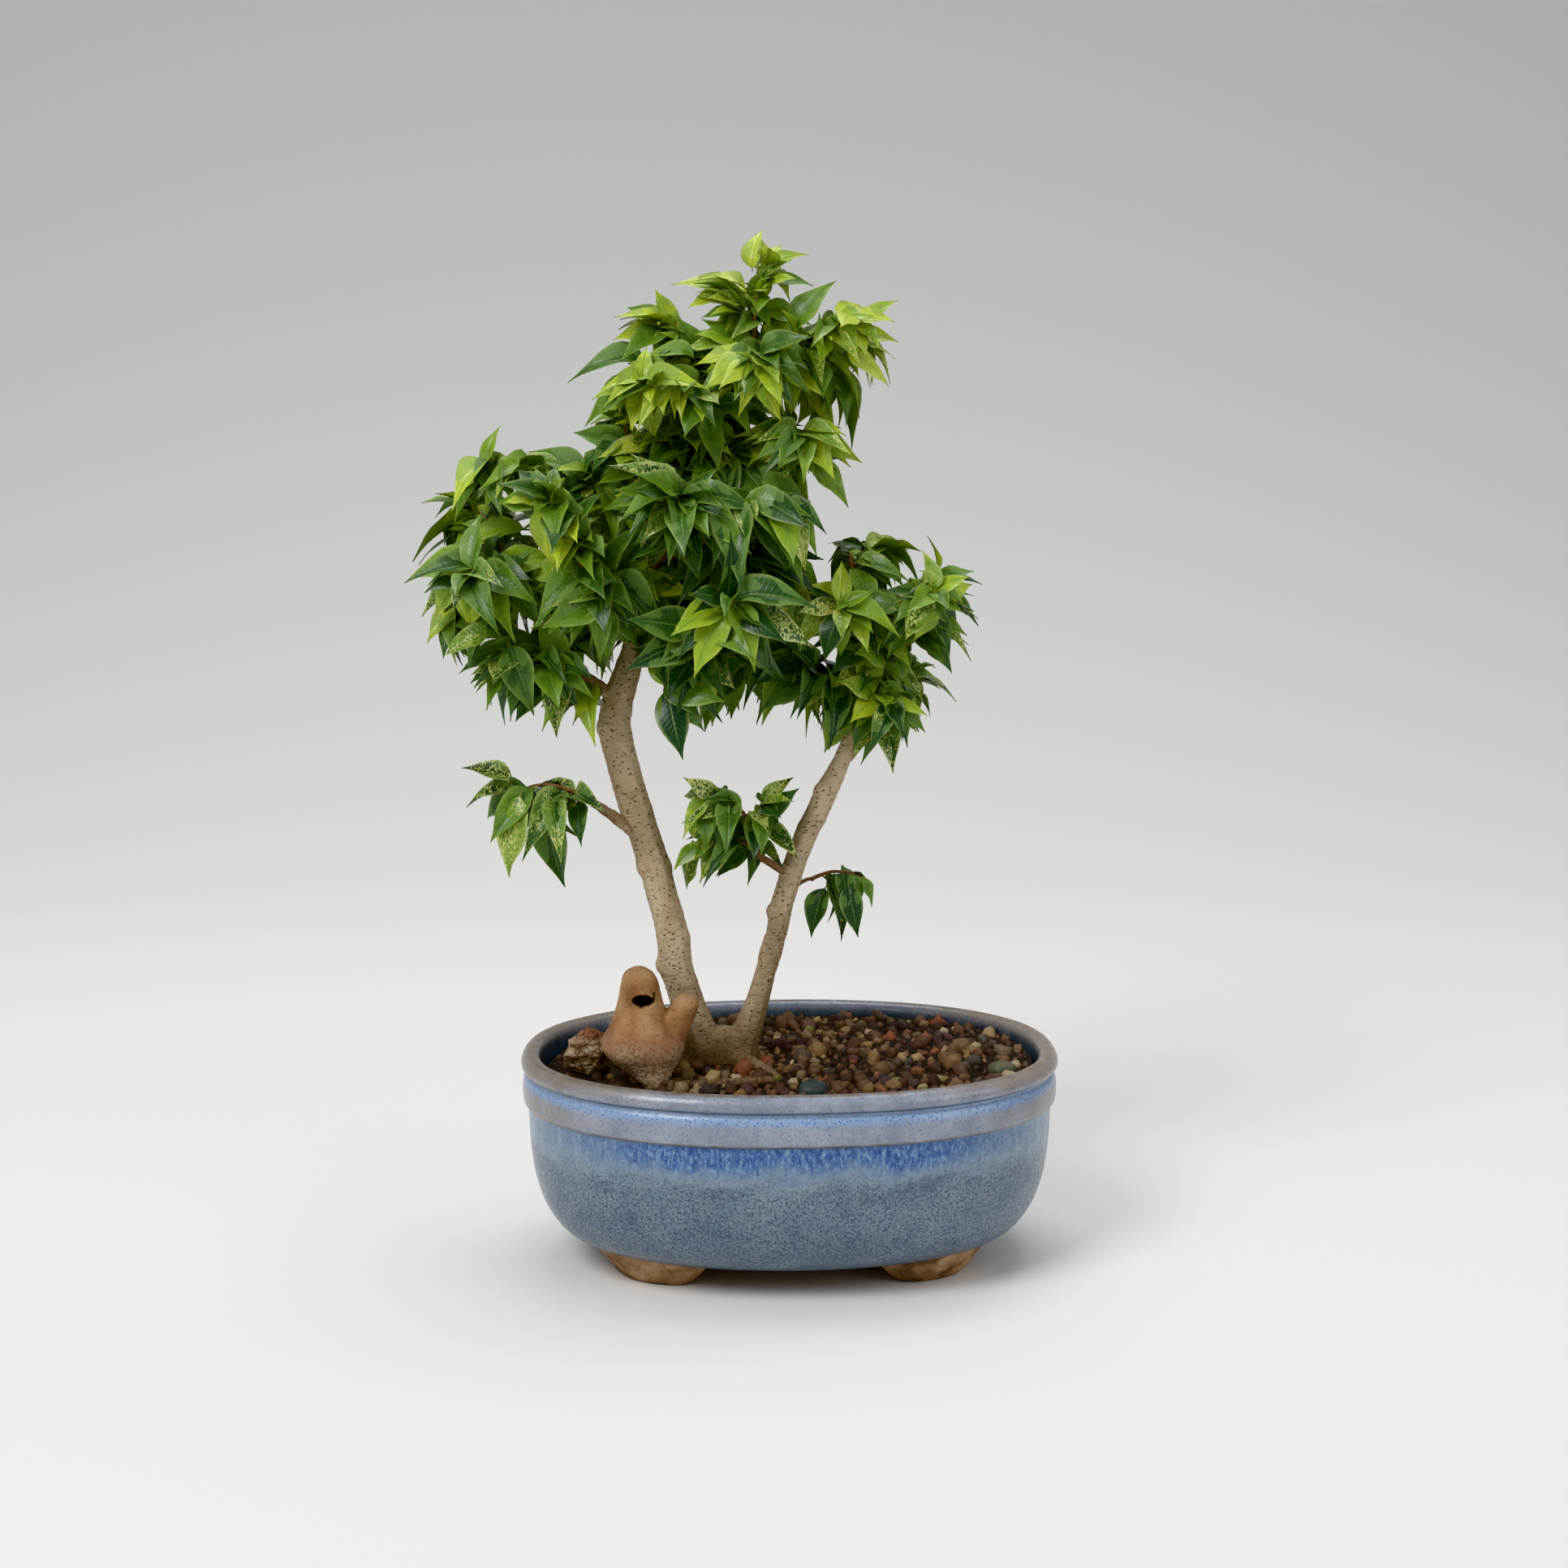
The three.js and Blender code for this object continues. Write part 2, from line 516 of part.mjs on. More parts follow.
// Leaves to alternate sides of a twig and one at its tip; one that finds no free room is left out.
function leavesOn({ points, heading, long, leaf, hang, roll }, others) {
  const stem = curveThrough(points);
  const first = Math.max(0.14, 1 - LEAFY_END / long);
  const placed = [];
  const own = [];
  for (let i = 0; i < LEAVES_PER_SPRAY; i += 1) {
    const last = i === LEAVES_PER_SPRAY - 1;
    const s = last ? 0.98 : first + ((0.96 - first) * i) / (LEAVES_PER_SPRAY - 1);
    const at = stem.getPoint(s);
    const along = stem.getTangent(s);
    const side = new THREE.Vector3().crossVectors(along, UP).normalize();
    const full = leaf * (0.82 + 0.3 * roll()) * (last ? 0.9 : 1);
    for (let tries = 0; tries < 16; tries += 1) {
      const length = full * (1 - 0.015 * tries);
      const swing = last ? 0.5 * (roll() - 0.5) : (i % 2 === 0 ? -1 : 1) * (0.75 + 0.5 * roll());
      const drop = hang * (0.35 + 0.9 * roll());
      const aim = along.clone().multiplyScalar(Math.cos(swing)).addScaledVector(side, Math.sin(swing));
      aim.addScaledVector(UP, -drop).normalize();
      const face = UP.clone().multiplyScalar(0.7).addScaledVector(heading, 0.6);
      face.addScaledVector(side, 0.8 * (roll() - 0.5)).projectOnPlane(aim).normalize();
      const across = new THREE.Vector3().crossVectors(aim, face);
      const frame = new THREE.Matrix4().makeBasis(across, aim, face);
      const centre = at.clone().addScaledVector(aim, length / 2);
      const reach = length * 0.62;
      const room = leafSolid(length, frame, at, GAP);
      if (taken(room, centre, reach, others)) continue;
      const stalk = at.clone().addScaledVector(aim, 3.2);
      const base = new THREE.SphereGeometry(3.4, 6, 4).translate(...stalk.toArray());
      const blade = room.subtract(solid(base));
      if (taken(blade, centre, reach, own)) continue;
      own.push({ solid: room, centre, reach });
      placed.push(leafSolid(length, frame, at));
      break;
    }
  }
  return { leaves: placed, rooms: own };
}

const fixed = [{ solid: wood }, { solid: whistle(GAP) }];
const tips = [];
const sprays = [];
PUFFS.forEach((puff, seed) => {
  const roll = dice(seed + 1);
  for (let n = 1; n <= puff.twigs; n += 1) {
    const stem = twig(puff, roll, tips, [...fixed, ...sprays]);
    sprays.push({ ...stem, name: `spray_${puff.name}_${n}`, leaf: puff.leaf, hang: puff.hang, roll });
  }
});
const rooms = [];
for (const spray of sprays) {
  Object.assign(spray, leavesOn(spray, [...fixed, ...sprays.filter((s) => s !== spray), ...rooms]));
  rooms.push(...spray.rooms);
}

// ---------- the assembly ----------

place("pot", pot(), glaze);
for (const [name, [sx, sy]] of Object.entries(FEET)) place(name, foot(sx, sy), bare_clay);
place("drain_screen_left", screen(-1), screen_plastic);
place("drain_screen_right", screen(1), screen_plastic);
place("soil", soil(), potting_soil);
place("gravel", gravel(), gravel_stone);
place("trunks_and_roots", wood, bark);
place("bird_whistle", whistle(0), terracotta);
STONES.forEach(({ name, at, radii, seed, material }) => place(name, stone(at, radii, seed), material));
for (const { name, made, leaves } of sprays) place(name, joined([made, ...leaves]), leaf_green);

const outline = new THREE.Box3().setFromObject(part);
part.position.set(-(outline.min.x + outline.max.x) / 2, -(outline.min.y + outline.max.y) / 2, 0);

export default part;
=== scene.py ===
"""A small-leaved fig grown as a bonsai: two trunks in an oval stoneware pot, with gravel, a clay bird
whistle and a chip of rock. Everything is in metres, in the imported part's own frame."""

import math
import random

import bmesh
import bpy
import numpy as np
from mathutils import Matrix, Vector, noise
from mathutils.bvhtree import BVHTree


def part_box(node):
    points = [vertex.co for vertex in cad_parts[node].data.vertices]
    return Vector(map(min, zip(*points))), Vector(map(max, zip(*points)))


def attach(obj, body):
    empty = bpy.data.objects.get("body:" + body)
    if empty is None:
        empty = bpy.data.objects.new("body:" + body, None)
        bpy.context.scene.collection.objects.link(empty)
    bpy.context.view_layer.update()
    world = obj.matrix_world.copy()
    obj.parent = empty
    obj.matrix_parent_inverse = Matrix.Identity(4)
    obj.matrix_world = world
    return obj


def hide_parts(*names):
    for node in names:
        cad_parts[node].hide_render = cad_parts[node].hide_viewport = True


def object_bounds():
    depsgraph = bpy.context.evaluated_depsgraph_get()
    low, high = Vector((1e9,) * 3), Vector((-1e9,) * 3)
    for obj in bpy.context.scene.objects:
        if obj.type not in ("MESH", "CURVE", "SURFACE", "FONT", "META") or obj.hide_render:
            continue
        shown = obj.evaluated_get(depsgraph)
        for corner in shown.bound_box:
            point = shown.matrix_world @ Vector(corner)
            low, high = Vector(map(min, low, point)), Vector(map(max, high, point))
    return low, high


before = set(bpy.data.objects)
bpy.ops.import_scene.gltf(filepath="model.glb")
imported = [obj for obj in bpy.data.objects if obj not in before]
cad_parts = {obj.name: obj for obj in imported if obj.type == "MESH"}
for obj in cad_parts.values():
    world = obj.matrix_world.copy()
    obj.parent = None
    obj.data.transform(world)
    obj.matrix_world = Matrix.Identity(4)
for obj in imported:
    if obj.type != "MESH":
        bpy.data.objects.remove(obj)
cad_low, cad_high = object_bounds()
MM = 0.001

# ---------------------------------------------------------------------------------------------------
# The pot: oval stoneware pressed in a mould, with a rolled lip and a raised band. Blue reduction glaze
# was poured over it down to the feet. It broke brown on the edges and ran cobalt below the band.
# ---------------------------------------------------------------------------------------------------
pot_low, pot_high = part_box("pot")
POT_CENTRE = Vector(((pot_low.x + pot_high.x) / 2, (pot_low.y + pot_high.y) / 2, 0))
POT_HALF_LENGTH = (pot_high.x - pot_low.x) / 2
POT_HALF_WIDTH = (pot_high.y - pot_low.y) / 2
POT_HEIGHT = pot_high.z
OVAL_POWER = 2.25
SHRINK_FROM = 42 * MM  # rings further in than this are scaled down, not inset
# how far in from the widest line, and how high, in mm: base, outside, band, roll, inside, floor
POT_OUTLINE = [
    (60, 9.6), (44, 9.5), (36, 9.9), (28, 11.5), (21.5, 14.8), (15.2, 20), (9.6, 29), (6.2, 39), (4.4, 49),
    (3.4, 60), (3.1, 69), (2.9, 72.6), (2.2, 73.6), (1.1, 74.6), (0.7, 77), (0.6, 80), (0.9, 83.5),
    (1.7, 86), (2.7, 87.3), (2.2, 88.3), (0.7, 89.3), (0, 91), (0.5, 93.2), (2.2, 95.2), (4.4, 96),
    (6.8, 95.4), (8.4, 93.6), (9.4, 90), (10.2, 84), (10.8, 70), (11.4, 55), (14.5, 38), (21, 26),
    (32, 18.6), (46, 16.6), (60, 16.5),
]
OUTLINE_TOP = 96  # where the outline's own heights end
FOOT_PLACE = (60 * MM, 34 * MM)
FOOT_HALF = (25 * MM, 14 * MM)
FOOT_TURN = math.radians(30)
FOOT_EDGE = 0.12  # how far bare clay reaches over a foot's edge, in foot sizes
CLAY_TOP = 26 * MM
FOOT_OUTLINE = [
    (0.54, 0), (0.66, 0.5), (0.76, 2), (0.87, 4.5), (1.0, 8), (1.13, 11.5), (1.26, 14.5), (1.4, 18),
]
DRAIN_PLACE = 42 * MM
DRAIN_RADIUS = 11 * MM
DRAIN_SPAN = (5 * MM, 22 * MM)  # from below the base to above the floor
INSIDE_FROM = 18 * MM


def smooth_line(points, fineness):
    """Points on a smooth line through the given ones."""
    points = [Vector(p) for p in points]
    ends = [points[0] * 2 - points[1], *points, points[-1] * 2 - points[-2]]
    line = []
    for a, b, c, d in zip(ends, ends[1:], ends[2:], ends[3:]):
        for i in range(fineness):
            t = i / fineness
            pull = (c - a) * t + (2 * a - 5 * b + 4 * c - d) * t**2 + (3 * b - a - 3 * c + d) * t**3
            line.append(b + pull / 2)
    return [*line, points[-1]]


def smoothed(mesh):
    mesh.polygons.foreach_set("use_smooth", [True] * len(mesh.polygons))


def painted(piece, finish):
    piece.data.materials.clear()
    piece.data.materials.append(finish)


def new_object(name, mesh):
    piece = bpy.data.objects.new(name, mesh)
    bpy.context.scene.collection.objects.link(piece)
    return piece


def closed_mesh(name, vertices, faces):
    """A mesh with its doubles merged and its faces pointing out."""
    mesh = bpy.data.meshes.new(name)
    mesh.from_pydata([tuple(v) for v in vertices], [], faces)
    body = bmesh.new()
    body.from_mesh(mesh)
    bmesh.ops.remove_doubles(body, verts=body.verts, dist=1e-6)
    bmesh.ops.recalc_face_normals(body, faces=body.faces)
    body.to_mesh(mesh)
    body.free()
    smoothed(mesh)
    return mesh


def stacked_rings(name, rings):
    """A closed skin over rings of points, each end closed by a fan."""
    count = len(rings[0])
    vertices = [p for ring in rings for p in ring]
    faces = []
    for r in range(len(rings) - 1):
        for i in range(count):
            j = (i + 1) % count
            faces.append((r * count + i, r * count + j, (r + 1) * count + j, (r + 1) * count + i))
    for ring, start in ((rings[0], 0), (rings[-1], (len(rings) - 1) * count)):
        vertices.append(sum(ring, Vector()) / count)
        faces += [(start + i, start + (i + 1) % count, len(vertices) - 1) for i in range(count)]
    return closed_mesh(name, vertices, faces)


def settled(piece):
    """The piece with its modifiers made part of its mesh."""
    graph = bpy.context.evaluated_depsgraph_get()
    ready = piece.evaluated_get(graph)
    mesh = bpy.data.meshes.new_from_object(ready, preserve_all_data_layers=True, depsgraph=graph)
    piece.modifiers.clear()
    old, piece.data = piece.data, mesh
    bpy.data.meshes.remove(old)
    return piece


def cut_or_join(piece, tool, operation):
    change = piece.modifiers.new(operation, "BOOLEAN")
    change.operation = operation
    change.solver = "EXACT"
    change.object = tool
    settled(piece)
    bpy.data.objects.remove(tool)


def oval_ring(inset, height, around=192):
    across = POT_HALF_LENGTH - inset
    if inset > SHRINK_FROM:
        depth = across * (POT_HALF_WIDTH - SHRINK_FROM) / (POT_HALF_LENGTH - SHRINK_FROM)
    else:
        depth = POT_HALF_WIDTH - inset
    ring = []
    for i in range(around):
        c, s = math.cos(math.tau * i / around), math.sin(math.tau * i / around)
        x = across * math.copysign(abs(c) ** (2 / OVAL_POWER), c)
        y = depth * math.copysign(abs(s) ** (2 / OVAL_POWER), s)
        waver = 0.25 * MM * noise.noise(Vector((x, y, height)) * 22)
        ring.append(POT_CENTRE + Vector((x, y, height + waver)) * (1 - 0.0015 * abs(waver) / MM))
    return ring


def foot(side_x, side_y):
    rings = []
    turn = Matrix.Rotation(-FOOT_TURN * side_x * side_y, 3, "Z")
    for size, height in smooth_line(FOOT_OUTLINE, 3):
        ring = []
        for i in range(40):
            a = math.tau * i / 40
            p = Vector((FOOT_HALF[0] * size * math.cos(a), FOOT_HALF[1] * size * math.sin(a), height * MM))
            around = Vector((math.cos(a), math.sin(a), height * 0.1 + side_x * 3 + side_y))
            p.xy *= 1 + 0.03 * noise.noise(around * 1.7)
            ring.append(turn @ p + POT_CENTRE + Vector((FOOT_PLACE[0] * side_x, FOOT_PLACE[1] * side_y, 0)))
        rings.append(ring)
    return new_object("foot", stacked_rings("foot", rings))


def foot_nearness(point):
    """1 on a foot, falling to 0 on the body around it."""
    best = 0
    for side_x in (-1, 1):
        for side_y in (-1, 1):
            local = point - POT_CENTRE - Vector((FOOT_PLACE[0] * side_x, FOOT_PLACE[1] * side_y, 0))
            local = Matrix.Rotation(FOOT_TURN * side_x * side_y, 3, "Z") @ local
            reach = math.hypot(local.x / FOOT_HALF[0], local.y / FOOT_HALF[1])
            size = np.interp(point.z / MM, [h for _, h in FOOT_OUTLINE], [s for s, _ in FOOT_OUTLINE])
            best = max(best, 1 - (reach - size) / FOOT_EDGE)
    return min(max(best, 0), 1) if point.z < CLAY_TOP else 0


rings = [oval_ring(i * MM, z * POT_HEIGHT / OUTLINE_TOP) for i, z in smooth_line(POT_OUTLINE, 3)]
pot = new_object("pot_stoneware", stacked_rings("pot", rings))
for side_x in (-1, 1):
    for side_y in (-1, 1):
        cut_or_join(pot, foot(side_x, side_y), "UNION")
for side in (-1, 1):
    at = POT_CENTRE + Vector((side * DRAIN_PLACE, 0, 0))
    angles = np.linspace(0, math.tau, 33)[:-1]
    circle = [Vector((math.cos(a), math.sin(a), 0)) * DRAIN_RADIUS for a in angles]
    punch = [[at + p + Vector((0, 0, z)) for p in circle] for z in DRAIN_SPAN]
    cut_or_join(pot, new_object("punch", stacked_rings("punch", punch)), "DIFFERENCE")
clay_mask = pot.data.attributes.new("bare_clay", "FLOAT", "POINT")
clay_mask.data.foreach_set("value", [foot_nearness(v.co) for v in pot.data.vertices])
# the inner wall above the floor, which the glaze darkens as painted shade
shaded_inner_wall = [
    float(v.normal.dot(v.co - POT_CENTRE) < 0 and v.co.z > INSIDE_FROM) for v in pot.data.vertices
]
pot.data.attributes.new("inside", "FLOAT", "POINT").data.foreach_set("value", shaded_inner_wall)
smoothed(pot.data)


class Wire:
    """A node's output. Sums written with it add Math nodes."""

    def __init__(self, web, socket):
        self.web = web
        self.socket = socket

    def maths(self, operation, *numbers):
        return self.web.node("ShaderNodeMath", {"operation": operation}, *numbers)

    def __add__(self, other):
        return self.maths("ADD", self, other)

    def __sub__(self, other):
        return self.maths("SUBTRACT", self, other)

    def __mul__(self, other):
        return self.maths("MULTIPLY", self, other)

    def __truediv__(self, other):
        return self.maths("DIVIDE", self, other)

    def __rsub__(self, other):
        return self.maths("SUBTRACT", other, self)

    def __pow__(self, other):
        return self.maths("POWER", self, other)

    def __gt__(self, other):
        return self.maths("GREATER_THAN", self, other)

    __radd__ = __add__
    __rmul__ = __mul__

    def rise(self, start, end):
        """0 up to start, 1 from end on, smooth between."""
        settings = {"interpolation_type": "SMOOTHSTEP"}
        return self.web.node("ShaderNodeMapRange", settings, self, start, end, 0.0, 1.0)

    def bell(self, middle, width):
        """1 at the middle, 0 a width away."""
        return 1 - (self - middle).maths("ABSOLUTE", self - middle).rise(0.0, width)


class Web:
    """A node tree being built."""

    def __init__(self, tree):
        self.tree = tree

    def node(self, kind, settings=None, *inputs, out=0, **named):
        """Adds a node: its settings first, then the values or links of its inputs. Gives one output."""
        made = self.tree.nodes.new(kind)
        for key, value in (settings or {}).items():
            if key == "stops":
                for spare in list(made.color_ramp.elements)[1:]:
                    made.color_ramp.elements.remove(spare)
                made.color_ramp.elements[0].position = value[0][0]
                made.color_ramp.elements[0].color = (*value[0][1], 1)
                for place, colour in value[1:]:
                    made.color_ramp.elements.new(place).color = (*colour, 1)
            else:
                setattr(made, key, value)
        open_inputs = [socket for socket in made.inputs if socket.enabled]
        by_name = {socket.name.replace(" ", "_"): socket for socket in reversed(open_inputs)}
        pairs = [*zip(open_inputs, inputs), *((by_name[key], value) for key, value in named.items())]
        for socket, value in pairs:
            if isinstance(value, Wire):
                self.tree.links.new(value.socket, socket)
            elif value is not None:
                socket.default_value = value
        return Wire(self, [socket for socket in made.outputs if socket.enabled][out])


class Finish(Web):
    """A material with one Principled shader."""

    def __init__(self, name, **constants):
        self.material = bpy.data.materials.new(name)
        self.material.use_nodes = True
        super().__init__(self.material.node_tree)
        self.shader = self.tree.nodes["Principled BSDF"]
        for key, value in constants.items():
            self.shader.inputs[key.replace("_", " ")].default_value = value
        self.place = self.node("ShaderNodeTexCoord", out=3)
        self.height = self.node("ShaderNodeSeparateXYZ", None, self.place, out=2)

    def stretched(self, x, y, z):
        return self.node("ShaderNodeVectorMath", {"operation": "MULTIPLY"}, self.place, (x, y, z))

    def mottle(self, size, detail=2.0, at=None, warp=0.0):
        """Noise from 0 to 1 whose patches are about the given size."""
        at = at or self.place
        return self.node(
            "ShaderNodeTexNoise", None, Vector=at, Scale=0.6 / size, Detail=detail, Distortion=warp
        )

    def cells(self, size, at=None, feature="F1", out=0):
        at = at or self.place
        return self.node("ShaderNodeTexVoronoi", {"feature": feature}, Vector=at, Scale=1 / size, out=out)

    def blend(self, amount, first, second, how="MIX"):
        settings = {"data_type": "RGBA", "blend_type": how}
        colours = [c if isinstance(c, Wire) else (*c, 1) for c in (first, second)]
        return self.node("ShaderNodeMix", settings, amount, *colours)

    def ramp(self, amount, *stops):
        return self.node("ShaderNodeValToRGB", {"stops": stops}, amount)

    def relief(self, *layers):
        """Bumps from (height from 0 to 1, depth in metres) layers."""
        normal = None
        for height, depth in layers:
            normal = self.node(
                "ShaderNodeBump", None, Strength=1.0, Distance=depth, Height=height, Normal=normal
            )
        return normal

    def set(self, **wires):
        for key, wire in wires.items():
            self.tree.links.new(wire.socket, self.shader.inputs[key.replace("_", " ")])
        return self.material


def blue_glaze():
    glaze = Finish("speckled_blue_glaze", IOR=1.5, Coat_Roughness=0.12)
    z = glaze.height / MM
    aside = glaze.node("ShaderNodeSeparateXYZ", None, glaze.place) / MM - POT_CENTRE.x / MM
    aside = aside.maths("ABSOLUTE", aside)
    streaks = glaze.mottle(2.2 * MM, 3, glaze.stretched(1, 1, 0.2))
    fine_streaks = glaze.mottle(0.85 * MM, 4, glaze.stretched(1, 1, 0.45))
    clouds = glaze.mottle(16 * MM, 4, glaze.stretched(1, 1, 1.7), 0.6)
    puffs = glaze.mottle(5 * MM, 4, warp=0.4)
    grain = glaze.mottle(0.66 * MM, 4)
    specks = 1 - glaze.cells(1.5 * MM).rise(0.14, 0.34)
    pale_specks = 1 - glaze.cells(1.2 * MM, glaze.stretched(1.1, 0.9, 1)).rise(0.12, 0.36)
    body = glaze.ramp(
        clouds, (0.25, (0.085, 0.13, 0.185)), (0.5, (0.13, 0.185, 0.245)), (0.78, (0.19, 0.245, 0.29))
    )
    body = glaze.blend(puffs.rise(0.35, 0.7) * 0.45, body, (0.22, 0.255, 0.275))
    body = glaze.blend(grain.rise(0.46, 0.62) * 0.75, body, (0.045, 0.07, 0.12))
    body = glaze.blend(pale_specks * 0.6, body, (0.33, 0.39, 0.43))
    body = glaze.blend(specks * 0.75, body, (0.03, 0.042, 0.07))
    # glaze that ran down from the band: cobalt, its lower edge breaking into pale clouds
    run_edge = z + streaks * 9 + clouds * 17
    cobalt = glaze.ramp(
        fine_streaks, (0.32, (0.02, 0.06, 0.21)), (0.5, (0.05, 0.13, 0.33)), (0.68, (0.18, 0.30, 0.44))
    )
    cobalt = glaze.blend(grain.rise(0.5, 0.7) * 0.5, cobalt, (0.03, 0.06, 0.20))
    cobalt = glaze.blend(pale_specks * 0.35, cobalt, (0.33, 0.42, 0.52))
    pale = glaze.ramp(streaks, (0.35, (0.18, 0.26, 0.33)), (0.65, (0.29, 0.36, 0.40)))
    pale = glaze.blend(grain.rise(0.5, 0.7) * 0.4, pale, (0.08, 0.13, 0.22))
    upper = glaze.blend((z + clouds * 16).rise(60, 70) * 0.8, body, pale)
    thick = run_edge.rise(70, 81) * (1 - (aside + puffs * 30).rise(70, 128) * 0.8)
    upper = glaze.blend(thick, upper, cobalt)
    # lavender grey where the glaze lies thin on the roll and the band, tan towards the ends
    lip = glaze.ramp(glaze.mottle(7 * MM, 4), (0.3, (0.20, 0.225, 0.28)), (0.7, (0.31, 0.335, 0.39)))
    tan = (aside / 120 + puffs * 0.5 + z.rise(90, 95) * 0.3).rise(0.85, 1.35) * 0.7
    lip = glaze.blend(tan, lip, (0.25, 0.19, 0.125))
    lip = glaze.blend(grain.rise(0.5, 0.68) * 0.3, lip, (0.11, 0.13, 0.19))
    lip = glaze.blend(specks * 0.5, lip, (0.09, 0.11, 0.16))
    colour = glaze.blend(z.rise(72.6, 74.4), upper, lip)
    groove = z.bell(85.6, 4.2) * (fine_streaks + 0.1).rise(0.34, 0.6)
    colour = glaze.blend(groove * 0.85, colour, (0.24, 0.37, 0.57))
    dots = z.bell(85, 4.4) * (specks + grain.rise(0.55, 0.7) * 0.6).rise(0.1, 0.8)
    colour = glaze.blend(dots * 0.85, colour, (0.05, 0.12, 0.42))
    # brown where it pulled off the edges
    ragged = glaze.mottle(3 * MM, 3) * 1.6
    brown = z.bell(74.2, 1.8) * 0.9 + z.bell(91.6, 3) * 0.5
    brown = brown + z.bell(88.4, 1.1) * 0.45 + z.rise(94.0, 96) * 0.9
    colour = glaze.blend((brown * ragged).rise(0.25, 1.0) * 0.85, colour, (0.17, 0.125, 0.08))
    # painted shade: the inner wall is darkened nearly to black, most deeply down and less towards the rim
    inside = glaze.node("ShaderNodeAttribute", {"attribute_name": "inside"}, out=2)
    dark = glaze.ramp(puffs, (0.3, (0.03, 0.042, 0.055)), (0.7, (0.085, 0.115, 0.14)))
    colour = glaze.blend(inside * (1 - z.rise(90, 95.5)) * 0.9, colour, dark)
    # bare clay on the feet, the base and a thin line above it
    clay = glaze.ramp(
        puffs, (0.34, (0.13, 0.075, 0.042)), (0.5, (0.32, 0.19, 0.10)), (0.68, (0.47, 0.32, 0.19))
    )
    clay = glaze.blend(grain.rise(0.52, 0.72) * 0.5, clay, (0.16, 0.085, 0.04))
    bare = glaze.node("ShaderNodeAttribute", {"attribute_name": "bare_clay"}, out=2)
    bare = (bare + (ragged - 0.8) * 0.35).rise(0.42, 0.6)
    bare = bare.maths("MAXIMUM", bare, 1 - (z + ragged).rise(10.6, 11.6))
    colour = glaze.blend(bare, colour, clay)
    rough = 0.28 + grain * 0.18 + bare * 0.42
    bumps = glaze.relief((streaks, 0.12 * MM), (grain, 0.12 * MM), (puffs, 0.5 * MM), (specks, 0.08 * MM))
    return glaze.set(Base_Color=colour, Roughness=rough, Coat_Weight=(1 - bare) * 0.35, Normal=bumps)


painted(pot, blue_glaze())
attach(pot, "root")
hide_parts("pot", "foot_front_left", "foot_front_right", "foot_back_right", "foot_back_left")

# ---------------------------------------------------------------------------------------------------
# The drain screens and the potting soil: black plastic mesh cut to size over the two holes, and dark
# peaty soil packed in on top of it. Both are hidden in the finished pot, except through the holes.
# ---------------------------------------------------------------------------------------------------


def mesh_plastic():
    plastic = Finish("black_mesh_plastic", Roughness=0.55)
    dust = plastic.mottle(3 * MM, 3)
    return plastic.set(
        Base_Color=plastic.ramp(dust, (0.4, (0.012, 0.013, 0.012)), (0.75, (0.06, 0.05, 0.04)))
    )


def peaty_soil():
    soil = Finish("peaty_soil", Roughness=0.95)
    crumbs = soil.cells(2.2 * MM)
    colour = soil.ramp(crumbs, (0.1, (0.045, 0.028, 0.018)), (0.6, (0.014, 0.009, 0.006)))
    bits = soil.mottle(1.6 * MM, 2).rise(0.62, 0.7)
    colour = soil.blend(bits * 0.6, colour, (0.17, 0.11, 0.06))
    return soil.set(Base_Color=colour, Normal=soil.relief((1 - crumbs, 0.8 * MM)))


screen_finish = mesh_plastic()
for name in ("drain_screen_left", "drain_screen_right"):
    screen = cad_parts[name]
    painted(screen, screen_finish)
soil_finish = peaty_soil()
painted(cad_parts["soil"], soil_finish)

# ---------------------------------------------------------------------------------------------------
# The gravel: river grit of mixed stones, most 4 to 9 mm, spread by hand over the soil. The grains are
# worn, brown, tan, mauve, ochre and grey, and lie in all directions with soil showing between them.
# ---------------------------------------------------------------------------------------------------
GRAIN_KINDS = 7
GRAIN_SPACING = 4.9 * MM
GRAIN_SIZES = (4.0 * MM, 12.5 * MM)
GRAVEL_SEED = 4


def merged_copy(name, node):
    """A copy of a CAD node's mesh with its loose triangles joined."""
    body = bmesh.new()
    body.from_mesh(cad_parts[node].data)
    bmesh.ops.remove_doubles(body, verts=body.verts, dist=2e-6)
    mesh = bpy.data.meshes.new(name)
    body.to_mesh(mesh)
    body.free()
    mesh.materials.clear()
    return new_object(name, mesh)


def pushed(mesh, amount):
    """Moves each vertex along its normal by amount(place)."""
    normals = [v.normal.copy() for v in mesh.vertices]
    for v, n in zip(mesh.vertices, normals):
        v.co += n * amount(v.co)
    mesh.update()


def grain_shape(seed):
    """A worn stone of a few dozen faces, about 1 across."""
    draw = random.Random(seed)
    body = bmesh.new()
    bmesh.ops.create_cube(body, size=1)
    bmesh.ops.subdivide_edges(body, edges=body.edges, cuts=2, use_grid_fill=True)
    offset = Vector((seed * 3.1, seed * 1.7, seed * 2.3))
    squash = Vector((1, draw.uniform(0.66, 0.95), draw.uniform(0.5, 0.8)))
    boxy = draw.uniform(0.25, 0.8)
    for v in body.verts:
        v.co = v.co.normalized().lerp(v.co, boxy + draw.uniform(-0.12, 0.2))
        v.co *= 0.5 * (1 + 0.5 * noise.noise(v.co * 1.7 + offset))
        v.co *= squash
    mesh = bpy.data.meshes.new(f"grain_{seed}")
    body.to_mesh(mesh)
    body.free()
    smoothed(mesh)
    return mesh


def kinds_of(name, meshes):
    """A collection outside the scene that holds one object for each mesh."""
    kinds = bpy.data.collections.new(name)
    for i, mesh in enumerate(meshes):
        kinds.objects.link(bpy.data.objects.new(f"{name}_{i:02}", mesh))
    return kinds


